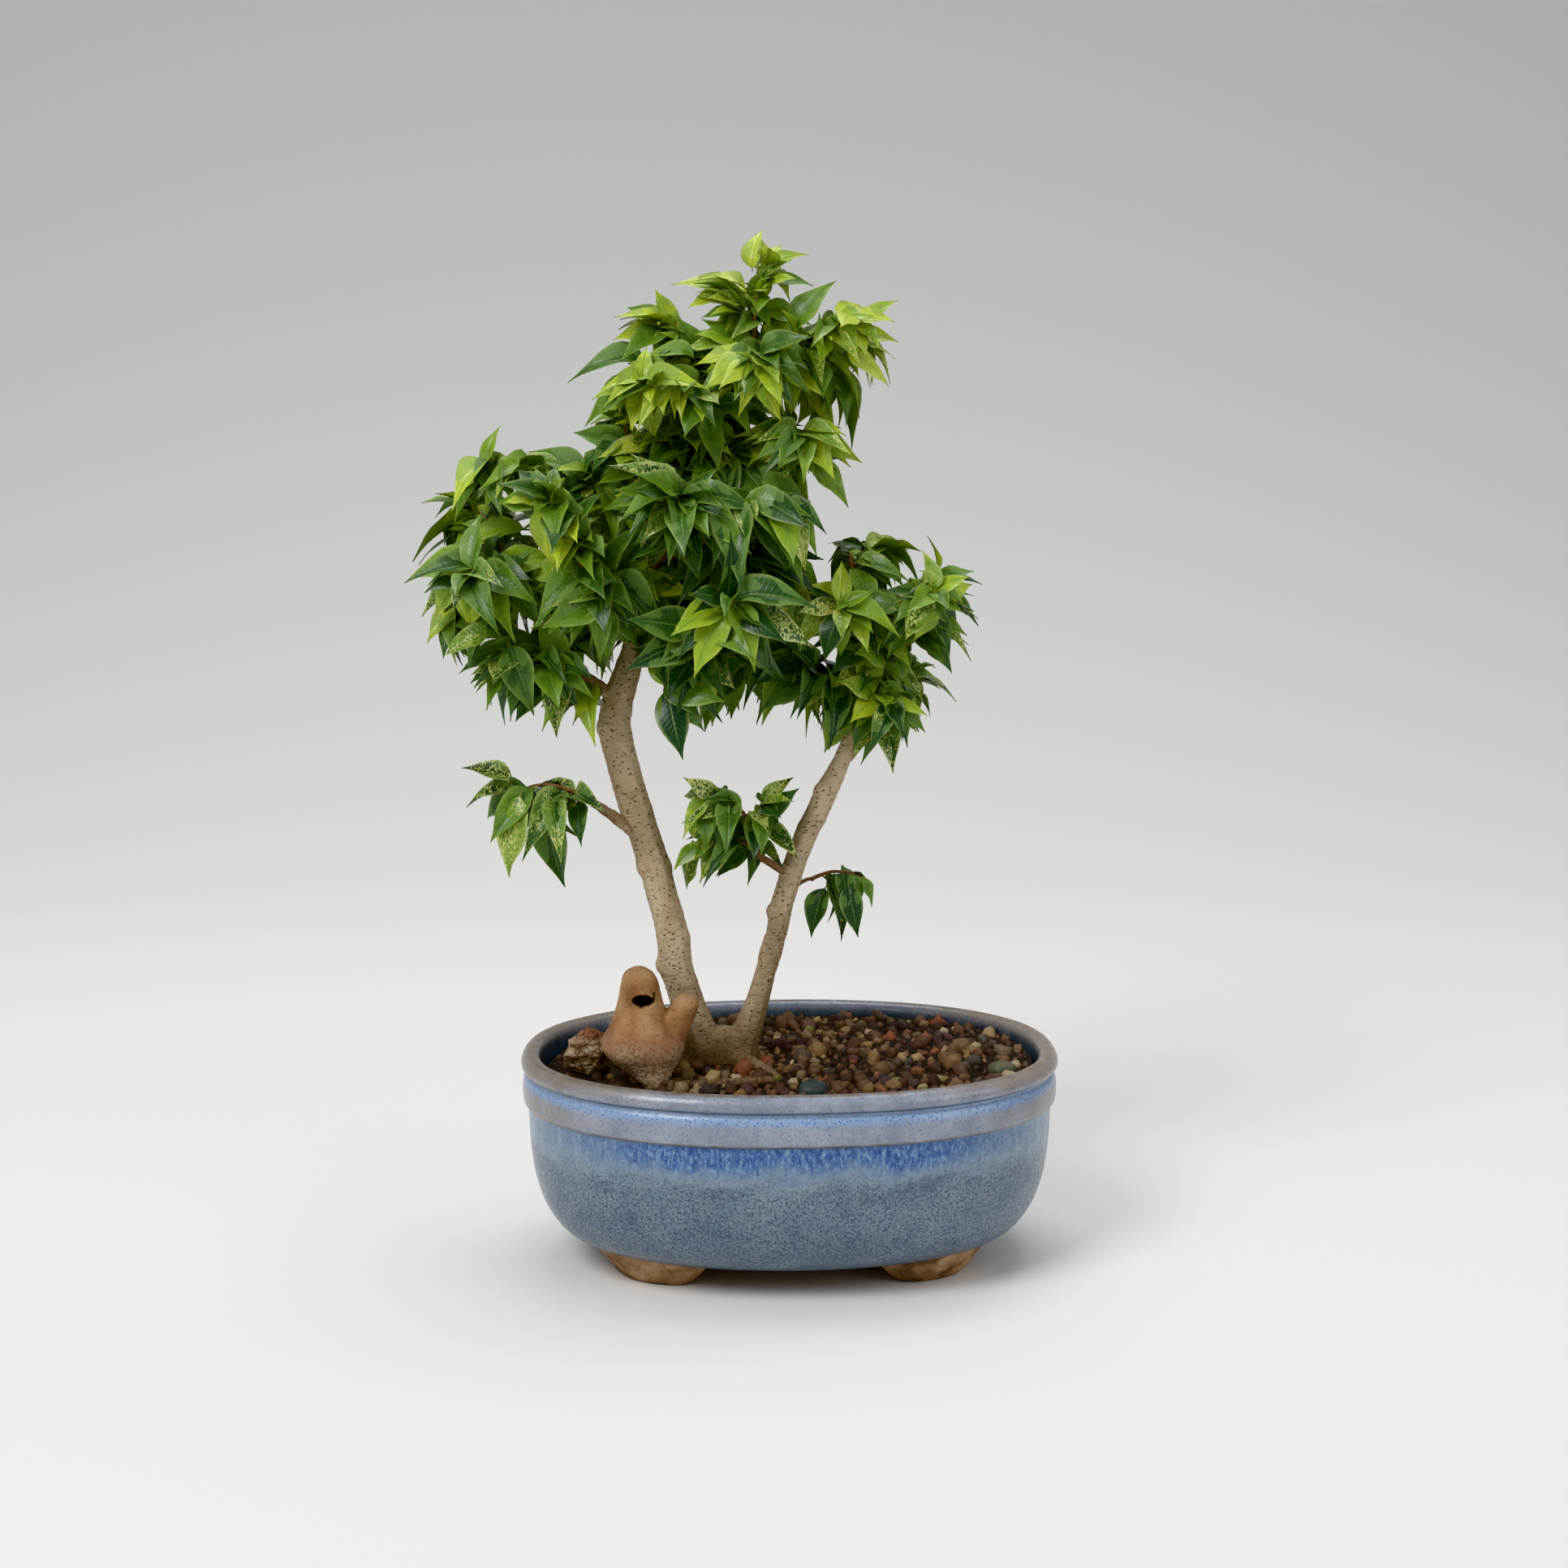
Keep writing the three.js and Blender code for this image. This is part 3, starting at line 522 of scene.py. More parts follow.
def new_recipe(name, *inputs):
    """A Geometry Nodes tree with a Geometry input and the named ones."""
    tree = bpy.data.node_groups.new(name, "GeometryNodeTree")
    tree.interface.new_socket("Geometry", in_out="OUTPUT", socket_type="NodeSocketGeometry")
    tree.interface.new_socket("Geometry", in_out="INPUT", socket_type="NodeSocketGeometry")
    for label, kind in inputs:
        tree.interface.new_socket(label, in_out="INPUT", socket_type=kind)
    web = Web(tree)
    source = tree.nodes.new("NodeGroupInput")
    return web, {socket.name: Wire(web, socket) for socket in source.outputs if socket.name}


def finish_recipe(web, geometry):
    end = web.tree.nodes.new("NodeGroupOutput")
    web.tree.links.new(geometry.socket, end.inputs[0])
    return web.tree


def follow(piece, tree, **values):
    """Runs a recipe on a piece with the given inputs and makes the result its mesh."""
    maker = piece.modifiers.new("recipe", "NODES")
    maker.node_group = tree
    for item in tree.interface.items_tree:
        key = item.name.replace(" ", "_").lower()
        if item.in_out == "INPUT" and key in values:
            maker[item.identifier] = values[key]
    return settled(piece)


def gravel_recipe(kinds):
    web, given = new_recipe(
        "spread_gravel",
        ("Spacing", "NodeSocketFloat"),
        ("Smallest", "NodeSocketFloat"),
        ("Largest", "NodeSocketFloat"),
        ("Seed", "NodeSocketInt"),
        ("Finish", "NodeSocketMaterial"),
    )
    normal = web.node("GeometryNodeInputNormal")
    upward = web.node("ShaderNodeSeparateXYZ", None, normal, out=2) > 0.6
    east = web.node("ShaderNodeSeparateXYZ", None, web.node("GeometryNodeInputPosition"))
    points = web.node(
        "GeometryNodeDistributePointsOnFaces",
        {"distribute_method": "POISSON"},
        Mesh=given["Geometry"],
        Selection=upward,
        Distance_Min=given["Spacing"],
        Density_Max=200000.0,
        Density_Factor=east.rise(POT_CENTRE.x - 105 * MM, POT_CENTRE.x - 40 * MM) * 0.75 + 0.25,
        Seed=given["Seed"],
    )
    choice = web.node("GeometryNodeCollectionInfo", {"transform_space": "RELATIVE"}, kinds, True, True)
    which = web.node("FunctionNodeRandomValue", {"data_type": "INT"}, 0, GRAIN_KINDS - 1, Seed=3)
    any_way = {"data_type": "FLOAT_VECTOR"}
    turn = web.node("FunctionNodeRandomValue", any_way, (0, 0, 0), (6.3, 6.3, 6.3), Seed=5)
    spread = web.node("FunctionNodeRandomValue", {"data_type": "FLOAT"}, 0.0, 1.0, Seed=9)
    size = given["Smallest"] + (given["Largest"] - given["Smallest"]) * spread**1.9
    grains = web.node(
        "GeometryNodeInstanceOnPoints",
        None,
        Points=points,
        Instance=choice,
        Pick_Instance=True,
        Instance_Index=which,
        Rotation=turn,
        Scale=size,
    )
    tone = web.node("FunctionNodeRandomValue", {"data_type": "FLOAT"}, 0.0, 1.0, Seed=12)
    toned = web.node(
        "GeometryNodeStoreNamedAttribute",
        {"data_type": "FLOAT", "domain": "INSTANCE"},
        Geometry=grains,
        Name="tone",
        Value=tone,
    )
    real = web.node("GeometryNodeRealizeInstances", None, toned)
    return finish_recipe(web, web.node("GeometryNodeSetMaterial", None, real, None, given["Finish"]))


def river_grit():
    grit = Finish("river_grit", IOR=1.45)
    tone = grit.node("ShaderNodeAttribute", {"attribute_name": "tone"}, out=2)
    stops = [
        (0.0, (0.055, 0.034, 0.025)), (0.13, (0.10, 0.058, 0.040)), (0.27, (0.19, 0.115, 0.065)),
        (0.36, (0.055, 0.045, 0.042)), (0.47, (0.105, 0.058, 0.058)), (0.57, (0.25, 0.155, 0.07)),
        (0.66, (0.075, 0.070, 0.062)), (0.74, (0.38, 0.265, 0.135)), (0.80, (0.085, 0.045, 0.034)),
        (0.90, (0.15, 0.085, 0.05)), (0.94, (0.24, 0.085, 0.045)), (0.965, (0.44, 0.36, 0.24)),
        (0.99, (0.19, 0.18, 0.06)),
    ]
    colour = grit.ramp(tone, *stops)
    veins = grit.mottle(1.7 * MM, 4, warp=0.8)
    colour = grit.blend(veins.rise(0.35, 0.7) * 0.6, colour, (0.55, 0.5, 0.45), "MULTIPLY")
    dust = grit.mottle(0.5 * MM, 2).rise(0.5, 0.8)
    colour = grit.blend(dust * 0.14, colour, (0.33, 0.27, 0.2))
    pits = grit.mottle(0.45 * MM, 3)
    return grit.set(Base_Color=colour, Roughness=0.55 + pits * 0.35, Normal=grit.relief((pits, 0.15 * MM)))


bed = merged_copy("gravel_bed", "gravel")
grit_finish = river_grit()
grains = follow(
    merged_copy("gravel_grains", "gravel"),
    gravel_recipe(kinds_of("grain", [grain_shape(k) for k in range(GRAIN_KINDS)])),
    spacing=GRAIN_SPACING,
    smallest=GRAIN_SIZES[0],
    largest=GRAIN_SIZES[1],
    seed=GRAVEL_SEED,
    finish=grit_finish,
)
bed.data.materials.append(soil_finish)
for piece in (bed, grains):
    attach(piece, "root")
    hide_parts("gravel")

# ---------------------------------------------------------------------------------------------------
# The wood: two trunks grown from one flared base, with roots over the gravel and branches above. The
# bark is smooth, pale and full of dark breathing pores, with knots where branches were pruned away.
# ---------------------------------------------------------------------------------------------------
BARK_GRAIN = 0.8 * MM
FRONT_ROOT_LIFT = 3.2 * MM
# pruned stubs: place from the pot's centre, radius and height, in mm
KNOTS = [
    ((-60, -4, 133), 6, 1.7), ((-44, -6, 147), 6, 1.3), ((-67, -3, 177), 6, 1.7), ((-52, 2, 178), 5, 1.0),
    ((-60, -3, 204), 5, 1.0), ((-68, -6, 214), 5, 0.9), ((-82, -4, 240), 6, 1.4), ((-68, -5, 247), 5, 1.1),
    ((-10, -3, 158), 5, 1.6), ((16, -3, 197), 5, 1.1), ((12, -2, 212), 5, 1.8), ((28, -2, 226), 4, 1.1),
    ((-38, -9, 96), 6, 1.2), ((-22, -9, 100), 5, 0.8),
]


def bark_swell(place):
    local = place - POT_CENTRE
    swell = 0.5 * noise.noise(local * 90) + 0.18 * noise.noise(local * 330)
    swell += 0.16 * noise.noise(Vector((local.x * 50, local.y * 50, local.z * 700)))
    for at, radius, height in KNOTS:
        reach = (local / MM - Vector(at)).length / radius
        if reach < 1:
            swell += height * (1 - reach**2) ** 2
    return swell * MM


def lifted(place):
    """The front root lies on top of the gravel."""
    local = (place - POT_CENTRE) / MM
    near = max(0, 1 - abs(local.y + 45) / 9) * max(0, 1 - max(0, abs(local.x + 26) - 16) / 8)
    return Vector((0, 0, FRONT_ROOT_LIFT * min(1, near * 1.6) * (local.z < 96)))


def skin_of(mesh):
    return BVHTree.FromPolygons([v.co for v in mesh.vertices], [p.vertices[:] for p in mesh.polygons])


def add_modifier(piece, name, kind, **settings):
    change = piece.modifiers.new(name, kind)
    for key, value in settings.items():
        setattr(change, key, value)


def pale_bark():
    bark = Finish("pale_pored_bark", IOR=1.4)
    z = bark.height / MM
    patches = bark.mottle(12 * MM, 4, bark.stretched(1, 1, 0.6))
    colour = bark.ramp(
        patches, (0.3, (0.31, 0.235, 0.145)), (0.5, (0.43, 0.335, 0.21)), (0.7, (0.52, 0.43, 0.29))
    )
    grain = bark.mottle(1.2 * MM, 3, bark.stretched(1, 1, 2.2))
    colour = bark.blend(grain.rise(0.48, 0.78) * 0.45, colour, (0.20, 0.125, 0.06))
    rows = bark.stretched(0.75, 0.75, 1.25)
    spread = bark.cells(1.9 * MM, rows)
    chosen = bark.cells(1.9 * MM, rows, out=1) > 0.38
    pores = (1 - (spread + (grain - 0.5) * 0.25).rise(0.12, 0.34)) * chosen
    colour = bark.blend(pores * 0.85, colour, (0.07, 0.035, 0.017))
    cracks = bark.mottle(2.6 * MM, 4, bark.stretched(1, 1, 4), 0.5)
    colour = bark.blend((1 - cracks.rise(0.30, 0.42)) * 0.5, colour, (0.14, 0.09, 0.05))
    thickness = bark.node("ShaderNodeAttribute", {"attribute_name": "thickness"}, out=2)
    young = 1 - (thickness + grain * 2).rise(4.0, 8.5)
    colour = bark.blend(young * 0.8, colour, (0.15, 0.065, 0.03))
    damp = 1 - (z + patches * 34).rise(112, 150)
    stain = bark.ramp(grain, (0.35, (0.085, 0.055, 0.03)), (0.65, (0.22, 0.15, 0.085)))
    colour = bark.blend(damp * 0.8, colour, stain)
    relief = bark.relief((grain, 0.15 * MM), (pores, 0.25 * MM), (cracks, 0.35 * MM))
    return bark.set(Base_Color=colour, Roughness=0.62 + grain * 0.25, Normal=relief)


wood = merged_copy("trunks_roots_and_branches", "trunks_and_roots")
wood_core = skin_of(wood.data)
add_modifier(wood, "even_skin", "REMESH", mode="VOXEL", voxel_size=BARK_GRAIN)
add_modifier(wood, "soften", "SMOOTH", factor=0.5, iterations=5)
settled(wood)
for v in wood.data.vertices:
    v.co += lifted(v.co)
pushed(wood.data, bark_swell)
wood_skin = skin_of(wood.data)
thickness = []
for v in wood.data.vertices:
    inward = -v.normal
    far = wood_skin.ray_cast(v.co + inward * 0.1 * MM, inward)[3]
    thickness.append((far or 0) / MM)
wood.data.attributes.new("thickness", "FLOAT", "POINT").data.foreach_set("value", thickness)
smoothed(wood.data)
painted(wood, pale_bark())
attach(wood, "root")
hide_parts("trunks_and_roots")

# ---------------------------------------------------------------------------------------------------
# The leafy twigs: thin red-brown shoots with alternate leaves, pointed and glossy, arching over to a
# drip tip. Old leaves are dark, new ones lime green, and some are flecked and edged with cream. Painted
# light
# and shade lies over this: leaves high and out on the crown are lighter, those low and inside it darker.
# ---------------------------------------------------------------------------------------------------
BLADE_WIDTH = 0.44  # of a leaf's length, in the CAD solids read here
BLADE_THICKNESS = 0.8 * MM
WIDEST_AT = 0.46
BRANCH_LEAVES = 640  # straight from the thin branches
LEAF_SEED = 21
LEAF_ROOM = 4.3 * MM  # between the middles of new leaves and others
LOWEST_LEAF = 0.13
BARE_TRUNK = (-86 * MM, -50 * MM, 0.272)  # left and right of the pot's centre, and how high
IN_FRONT = 25 * MM  # leaves this far back or further don't cover the trunk
CLEAR_OF_WOOD = 3 * MM
CROWN_SLACK = 6 * MM  # how far new leaves may pass the CAD's box
BIG_LEAF = 32.5 * MM
CROWN_FOOT = 0.24
CROWN_HEIGHT = 0.2
LOWEST_BRANCH_LEAF = 0.24
CROWN_MIDDLE = POT_CENTRE + Vector((-0.045, 0, 0.31))
# single leaves that stand out: the twig, the foot from the pot's centre, the aim, and the length in mm
OUTLINE_LEAVES = [
    ("spray_top_1", (-16, 0, 436), (0.05, 0, 1), 20),
    ("spray_top_1", (-18, -3, 428), (-1, -0.2, 0.6), 24),
    ("spray_top_1", (-14, 2, 430), (1, -0.2, 0.25), 25),
    ("spray_top_1", (-20, -2, 418), (-1, -0.4, 0.1), 24),
    ("spray_top_2", (0, -4, 408), (0.45, -0.2, 1), 28),
    ("spray_top_right_1", (30, -2, 412), (0.9, 0, 1), 22),
    ("spray_top_right_1", (22, -8, 404), (1, -0.3, -0.5), 27),
    ("spray_left_1", (-112, 4, 326), (-1, -0.1, -0.1), 34),
    ("spray_left_7", (-130, 2, 316), (-1, -0.1, -0.05), 34),
    ("spray_left_4", (-130, -6, 308), (-0.3, -0.3, -1), 28),
    ("spray_left_3", (-126, -20, 284), (-1, -0.3, -0.25), 30),
    ("spray_left_3", (-122, -20, 280), (0.4, -0.4, -1), 30),
    ("spray_upper_2", (-60, -4, 396), (-1, -0.2, 0.25), 30),
    ("spray_upper_2", (-58, -6, 376), (-1, -0.3, 0.1), 28),
    ("spray_upper_3", (-56, -8, 362), (-1, -0.3, 0), 28),
    ("spray_upper_5", (-40, -12, 398), (-0.7, -0.4, 0.4), 29),
    ("spray_low_left_1", (-117, -10, 214), (-0.35, -0.3, -1), 34),
    ("spray_low_left_1", (-105, -12, 212), (0, -0.3, -1), 35),
    ("spray_low_left_1", (-120, -8, 217), (-1, -0.1, 0.5), 27),
    ("spray_low_outer_1", (17, 4, 168), (-0.5, -0.4, -1), 30),
    ("spray_low_outer_1", (26, 2, 170), (0.15, -0.5, -1), 28),
]
# the blade's outline: how far along the leaf, and half its width there
LEAF_OUTLINE = [
    (0, 0.011), (0.09, 0.012), (0.125, 0.06), (0.17, 0.12), (0.24, 0.175), (0.33, 0.213), (0.44, 0.228),
    (0.56, 0.213), (0.67, 0.172), (0.77, 0.118), (0.86, 0.062), (0.94, 0.023), (1, 0.005),
]
WIDEST_HALF = 0.228
# how each kind of leaf bends: droop of its tip, lift of its edges, waviness and twist
LEAF_BENDS = [
    (0.30, 0.08, 0.015, 0.1), (0.48, 0.13, 0.03, 0.3), (0.20, 0.10, 0.03, -0.35), (0.38, 0.04, 0.04, 0.45),
    (0.60, 0.15, 0.02, -0.2), (0.36, -0.05, 0.03, -0.1),
]


def leaf_shape(number, droop, lift, wave, twist):
    """A closed blade on its stalk, 1 long: its foot at the origin, its tip towards +Y, its face up."""
    vertices, map_places = [], []
    for t, half in LEAF_OUTLINE:
        turn = Matrix.Rotation(twist * t, 3, "Y")
        sag = 0.035 * math.sin(math.pi * min(t / 0.5, 1)) - droop * max(0, (t - 0.3) / 0.7) ** 2
        bow = half / WIDEST_HALF
        for u in (-1, -0.5, 0, 0.5, 1):
            edge = abs(u) ** 1.5 * (lift + wave * math.sin(13 * t + 2.2 * u + number))
            rib = 0.018 * (1 - abs(u)) ** 2
            vertices.append(turn @ Vector((u * half, 0, bow * (edge - rib))) + Vector((0, t, sag)))
            map_places.append(((u + 1) / 2, t))
        vertices.append(turn @ Vector((0, 0, -0.018 * bow - 0.014)) + Vector((0, t, sag)))
        map_places.append((0.5, t))
    faces, under = [], []
    for r in range(0, 6 * (len(LEAF_OUTLINE) - 1), 6):
        faces += [(r + i, r + i + 1, r + i + 7, r + i + 6) for i in range(4)]
        faces += [(r, r + 6, r + 11, r + 5), (r + 5, r + 11, r + 10, r + 4)]
        under += [0, 0, 0, 0, 1, 1]
    last = len(vertices) - 6
    faces += [tuple(range(6)), tuple(range(last, last + 6))]
    under += [0, 0]
    mesh = bpy.data.meshes.new(f"leaf_{number}")
    mesh.from_pydata([tuple(v) for v in vertices], [], faces)
    body = bmesh.new()
    body.from_mesh(mesh)
    bmesh.ops.recalc_face_normals(body, faces=body.faces)
    for edge in body.edges:
        edge.smooth = len({under[face.index] for face in edge.link_faces}) == 1
    body.to_mesh(mesh)
    body.free()
    smoothed(mesh)
    mesh.attributes.new("under", "FLOAT", "FACE").data.foreach_set("value", under)
    blade = mesh.uv_layers.new(name="blade")
    for loop, place in zip(mesh.loops, blade.uv):
        place.vector = map_places[loop.vertex_index]
    return mesh


def leaves_in(node):
    """The foot, turn and length of each leaf of a CAD spray, and its twig's end at the wood. A blade's
    widest place has one point above the middle and one below, which share its tip and two sides."""
    body = bmesh.new()
    body.from_mesh(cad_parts[node].data)
    bmesh.ops.remove_doubles(body, verts=body.verts, dist=2e-6)
    beside = {v: {edge.other_vert(v) for edge in v.link_edges} for v in body.verts}
    leaves, blades = [], set()
    for upper in body.verts:
        for lower in body.verts:
            if abs((upper.co - lower.co).length - BLADE_THICKNESS) > 4e-6:
                continue
            shared = sorted(beside[upper] & beside[lower], key=lambda v: (v.co - upper.co).length)
            if len(shared) < 3:
                continue
            left, right, tip = shared[0], shared[1], shared[-1]
            face = (upper.co - lower.co).normalized()
            if (tip.co - upper.co).dot(face) > 0:
                continue
            across = (left.co - right.co).normalized()
            aim = face.cross(across)
            if aim.dot(tip.co - upper.co) < 0:
                aim.negate()
            length = (left.co - right.co).length / BLADE_WIDTH
            if length < 14 * MM:
                continue
            turn = Matrix((aim.cross(face), aim, face)).transposed()
            leaves.append((upper.co - aim * WIDEST_AT * length, turn, length))
            blades |= {upper, lower, left, right, tip}
    stem = [v.co.copy() for v in body.verts if v not in blades]
    near = min(stem, key=lambda p: wood_core.find_nearest(p)[3])
    ring = [p for p in stem if (p - near).length < 2.4 * MM]
    body.free()
    return leaves, sum(ring, Vector()) / len(ring)


def turned_out(foot, aim, face, draw):
    """The turn of a leaf along an aim whose face leans towards the light, up and out of the flat crown."""
    aim = (aim + Vector([draw.uniform(-0.3, 0.3) for _ in range(3)])).normalized()
    depth = (foot.y - CROWN_MIDDLE.y) / (30 * MM) - 0.9
    aside = (foot.x - CROWN_MIDDLE.x) / (120 * MM)
    light = Vector((0.3 * aside, min(max(depth, -1.3), 1.1), 0.75))
    light += Vector([draw.uniform(-0.4, 0.4) for _ in range(3)])
    face = face * 0.35 + light
    face = (face - aim * face.dot(aim)).normalized()
    return Matrix((aim.cross(face), aim, face)).transposed()


def hides_trunk(foot, aim, length):
    """Whether a leaf hangs in front of the left trunk, which shows bare up to its fork."""
    left, right, top = BARE_TRUNK
    tip = foot + aim * length * 0.8
    return left < tip.x - POT_CENTRE.x < right and tip.z < top and tip.y < IN_FRONT


def grown_leaf(foot, along, heading, length, taken, draw):
    """A new leaf at a foot on the wood, if there is room for it."""
    side = along.cross(Vector((0, 0, 1))).normalized() * draw.choice((-1, 1))
    swing = draw.uniform(0.3, 1.4)
    aim = along * math.cos(swing) + side * math.sin(swing) - Vector((0, 0, draw.uniform(-0.3, 0.9)))
    aim.normalize()
    face = Vector((0, 0, 0.7)) + heading * 0.7 + side * draw.uniform(-0.5, 0.5)
    face = (face - aim * face.dot(aim)).normalized()
    middle = foot + aim * length * 0.5
    tip = foot + aim * length - face * length * 0.25
    if min(wood_skin.find_nearest(p)[3] for p in (middle, tip)) < CLEAR_OF_WOOD or tip.z < LOWEST_LEAF:
        return None
    box = zip(cad_low, tip, cad_high)
    if not all(low - CROWN_SLACK < c < high + CROWN_SLACK for low, c, high in box):
        return None
    if hides_trunk(foot, aim, length) or any((middle - other).length < LEAF_ROOM for other in taken):
        return None
    taken.append(middle)
    return foot, turned_out(foot, aim, face, draw), length


def more_leaves(line, leaves, most, taken, draw):
    """New leaves along a twig, between those that it has, so many at most."""
    mean = sum(length for _, _, length in leaves) / len(leaves)
    made = []
    for _ in range(most * 5):
        place = draw.uniform(0.12, 0.97) * (len(line) - 1)
        start, end = line[int(place)], line[int(place) + 1]
        foot = start.lerp(end, place - int(place))
        heading = (line[-1] - line[0]).normalized()
        length = mean * draw.uniform(0.7, 1.12)
        leaf = grown_leaf(foot, (end - start).normalized(), heading, length, taken, draw)
        if leaf and len(made) < most:
            made.append(leaf)
    return made


def outline_leaves():
    """The single leaves that stand out of the crown, for the twig each grows from."""
    made = {}
    for name, foot, aim, length in OUTLINE_LEAVES:
        foot, aim = POT_CENTRE + Vector(foot) * MM, Vector(aim).normalized()
        face = Vector((-0.2, -0.6, 0.8))
        face = (face - aim * face.dot(aim)).normalized()
        turn = Matrix((aim.cross(face), aim, face)).transposed()
        made.setdefault(name, []).append((foot, turn, length * MM))
    return made


def branch_leaves(starts, taken, draw):
    """New leaves on the thin branches, for the twig that starts nearest to each."""
    thin = [v for v in wood.data.vertices if v.co.z > LOWEST_BRANCH_LEAF and 1 < thickness[v.index] < 5.5]
    made = {name: [] for name in starts}
    for _ in range(BRANCH_LEAVES * 4):
        spot = draw.choice(thin)
        outward = (spot.co - CROWN_MIDDLE).normalized()
        along = (spot.normal + outward * 0.8).normalized()
        leaf = grown_leaf(spot.co.copy(), along, outward, draw.uniform(22, 32) * MM, taken, draw)
        if leaf and sum(map(len, made.values())) < BRANCH_LEAVES:
            made[min(starts, key=lambda name: (starts[name] - spot.co).length)].append(leaf)
    return made


def spray_recipe(kinds):
    web, given = new_recipe(
        "leafy_twig",
        ("Girth", "NodeSocketFloat"),
        ("Twig Sides", "NodeSocketInt"),
        ("Leaf Finish", "NodeSocketMaterial"),
        ("Twig Finish", "NodeSocketMaterial"),
    )

    def stored(name, kind="FLOAT"):
        return web.node("GeometryNodeInputNamedAttribute", {"data_type": kind}, name)

    line = web.node("GeometryNodeMeshToCurve", None, given["Geometry"])
    ring = web.node("GeometryNodeCurvePrimitiveCircle", None, given["Twig Sides"], Radius=1.0)
    girth = stored("taper") * given["Girth"]
    twig = web.node("GeometryNodeCurveToMesh", None, line, ring, girth, True)
    flag = {"data_type": "FLOAT", "domain": "FACE"}
    twig = web.node("GeometryNodeStoreNamedAttribute", flag, Geometry=twig, Name="woody", Value=1.0)
    choice = web.node("GeometryNodeCollectionInfo", {"transform_space": "RELATIVE"}, kinds, True, True)
    leaves = web.node(
        "GeometryNodeInstanceOnPoints",
        None,
        Points=given["Geometry"],
        Selection=stored("leaf") > 0.5,
        Instance=choice,
        Pick_Instance=True,
        Instance_Index=stored("kind", "INT"),
        Rotation=stored("turn", "FLOAT_VECTOR"),
        Scale=stored("size", "FLOAT_VECTOR"),
    )
    both = web.tree.nodes.new("GeometryNodeJoinGeometry")
    for branch in (leaves, twig):
        web.tree.links.new(branch.socket, both.inputs[0])
    real = web.node("GeometryNodeRealizeInstances", None, Wire(web, both.outputs[0]))
    dressed = web.node("GeometryNodeSetMaterial", None, real, None, given["Leaf Finish"])
    woody = stored("woody") > 0.5
    return finish_recipe(
        web, web.node("GeometryNodeSetMaterial", None, dressed, woody, given["Twig Finish"])
    )


def fig_leaf():
    leaf = Finish("flecked_fig_leaf", IOR=1.45, Coat_Roughness=0.3)
    tint, cream, under = (
        leaf.node("ShaderNodeAttribute", {"attribute_name": name}, out=2)
        for name in ("tint", "cream", "under")
    )
    blade = leaf.node("ShaderNodeUVMap", {"uv_map": "blade"})
    across = leaf.node("ShaderNodeSeparateXYZ", None, blade)
    along = leaf.node("ShaderNodeSeparateXYZ", None, blade, out=1)
    side = (across - 0.5).maths("ABSOLUTE", across - 0.5) * 2
    stops = [
        (0.0, (0.010, 0.034, 0.014)), (0.3, (0.031, 0.080, 0.019)), (0.52, (0.098, 0.185, 0.026)),
        (0.75, (0.225, 0.34, 0.036)), (1.0, (0.43, 0.51, 0.055)),
    ]
    marbling = leaf.mottle(3 * MM, 4, warp=0.6)
    # the green comes from the stored tint, which carries painted light and shade across the crown as well
    # as the leaves' age
    green = leaf.ramp(tint + (marbling - 0.5) * 0.4 + side * 0.1 + along * 0.12 - 0.1, *stops)
    rib_line = 1 - side.rise(0.0, 0.09)
    slanted = (along - side * 0.16) * 15
    ribs = (1 - (slanted.maths("FRACT", slanted) - 0.5).rise(0.0, 0.16)) * 0.5
    colour = leaf.blend(rib_line * 0.55, green, (0.20, 0.33, 0.08))
    colour = leaf.blend(ribs * 0.16, colour, (0.16, 0.30, 0.07))
    flecks = leaf.mottle(0.45 * MM, 3, leaf.stretched(1, 1, 0.5), 0.4)
    margin = side.rise(0.72, 0.98) * along.rise(0.12, 0.2)
    drift = leaf.mottle(6 * MM, 2)
    fleck = (flecks + drift * 0.5 + cream * 0.14 + margin * 0.12 * cream).rise(0.87, 0.95) * (cream > 0.05)
    colour = leaf.blend(fleck * 0.9, colour, (0.50, 0.52, 0.16))
    colour = leaf.blend(margin * (0.35 + cream * 0.4), colour, (0.42, 0.48, 0.18))
    colour = leaf.blend(1 - along.rise(0.06, 0.13), colour, (0.22, 0.24, 0.06))
    colour = leaf.blend(under * 0.5, colour, (0.16, 0.27, 0.07))
    relief = leaf.relief((marbling, 0.25 * MM), (1 - ribs, 0.12 * MM), (1 - rib_line, 0.2 * MM))
    return leaf.set(
        Base_Color=colour,
        Roughness=0.3 + under * 0.25 + marbling * 0.1,
        Coat_Weight=(1 - under) * 0.15,
        Normal=relief,
    )


def red_twig():
    twig = Finish("red_brown_twig", Roughness=0.6)
    rind = twig.mottle(1.5 * MM, 3)
    stops = [(0.3, (0.10, 0.038, 0.016)), (0.55, (0.22, 0.10, 0.04)), (0.8, (0.24, 0.20, 0.07))]
    return twig.set(Base_Color=twig.ramp(rind, *stops))


def puff_of(node):
    return node[len("spray_"):].rstrip("0123456789").rstrip("_")


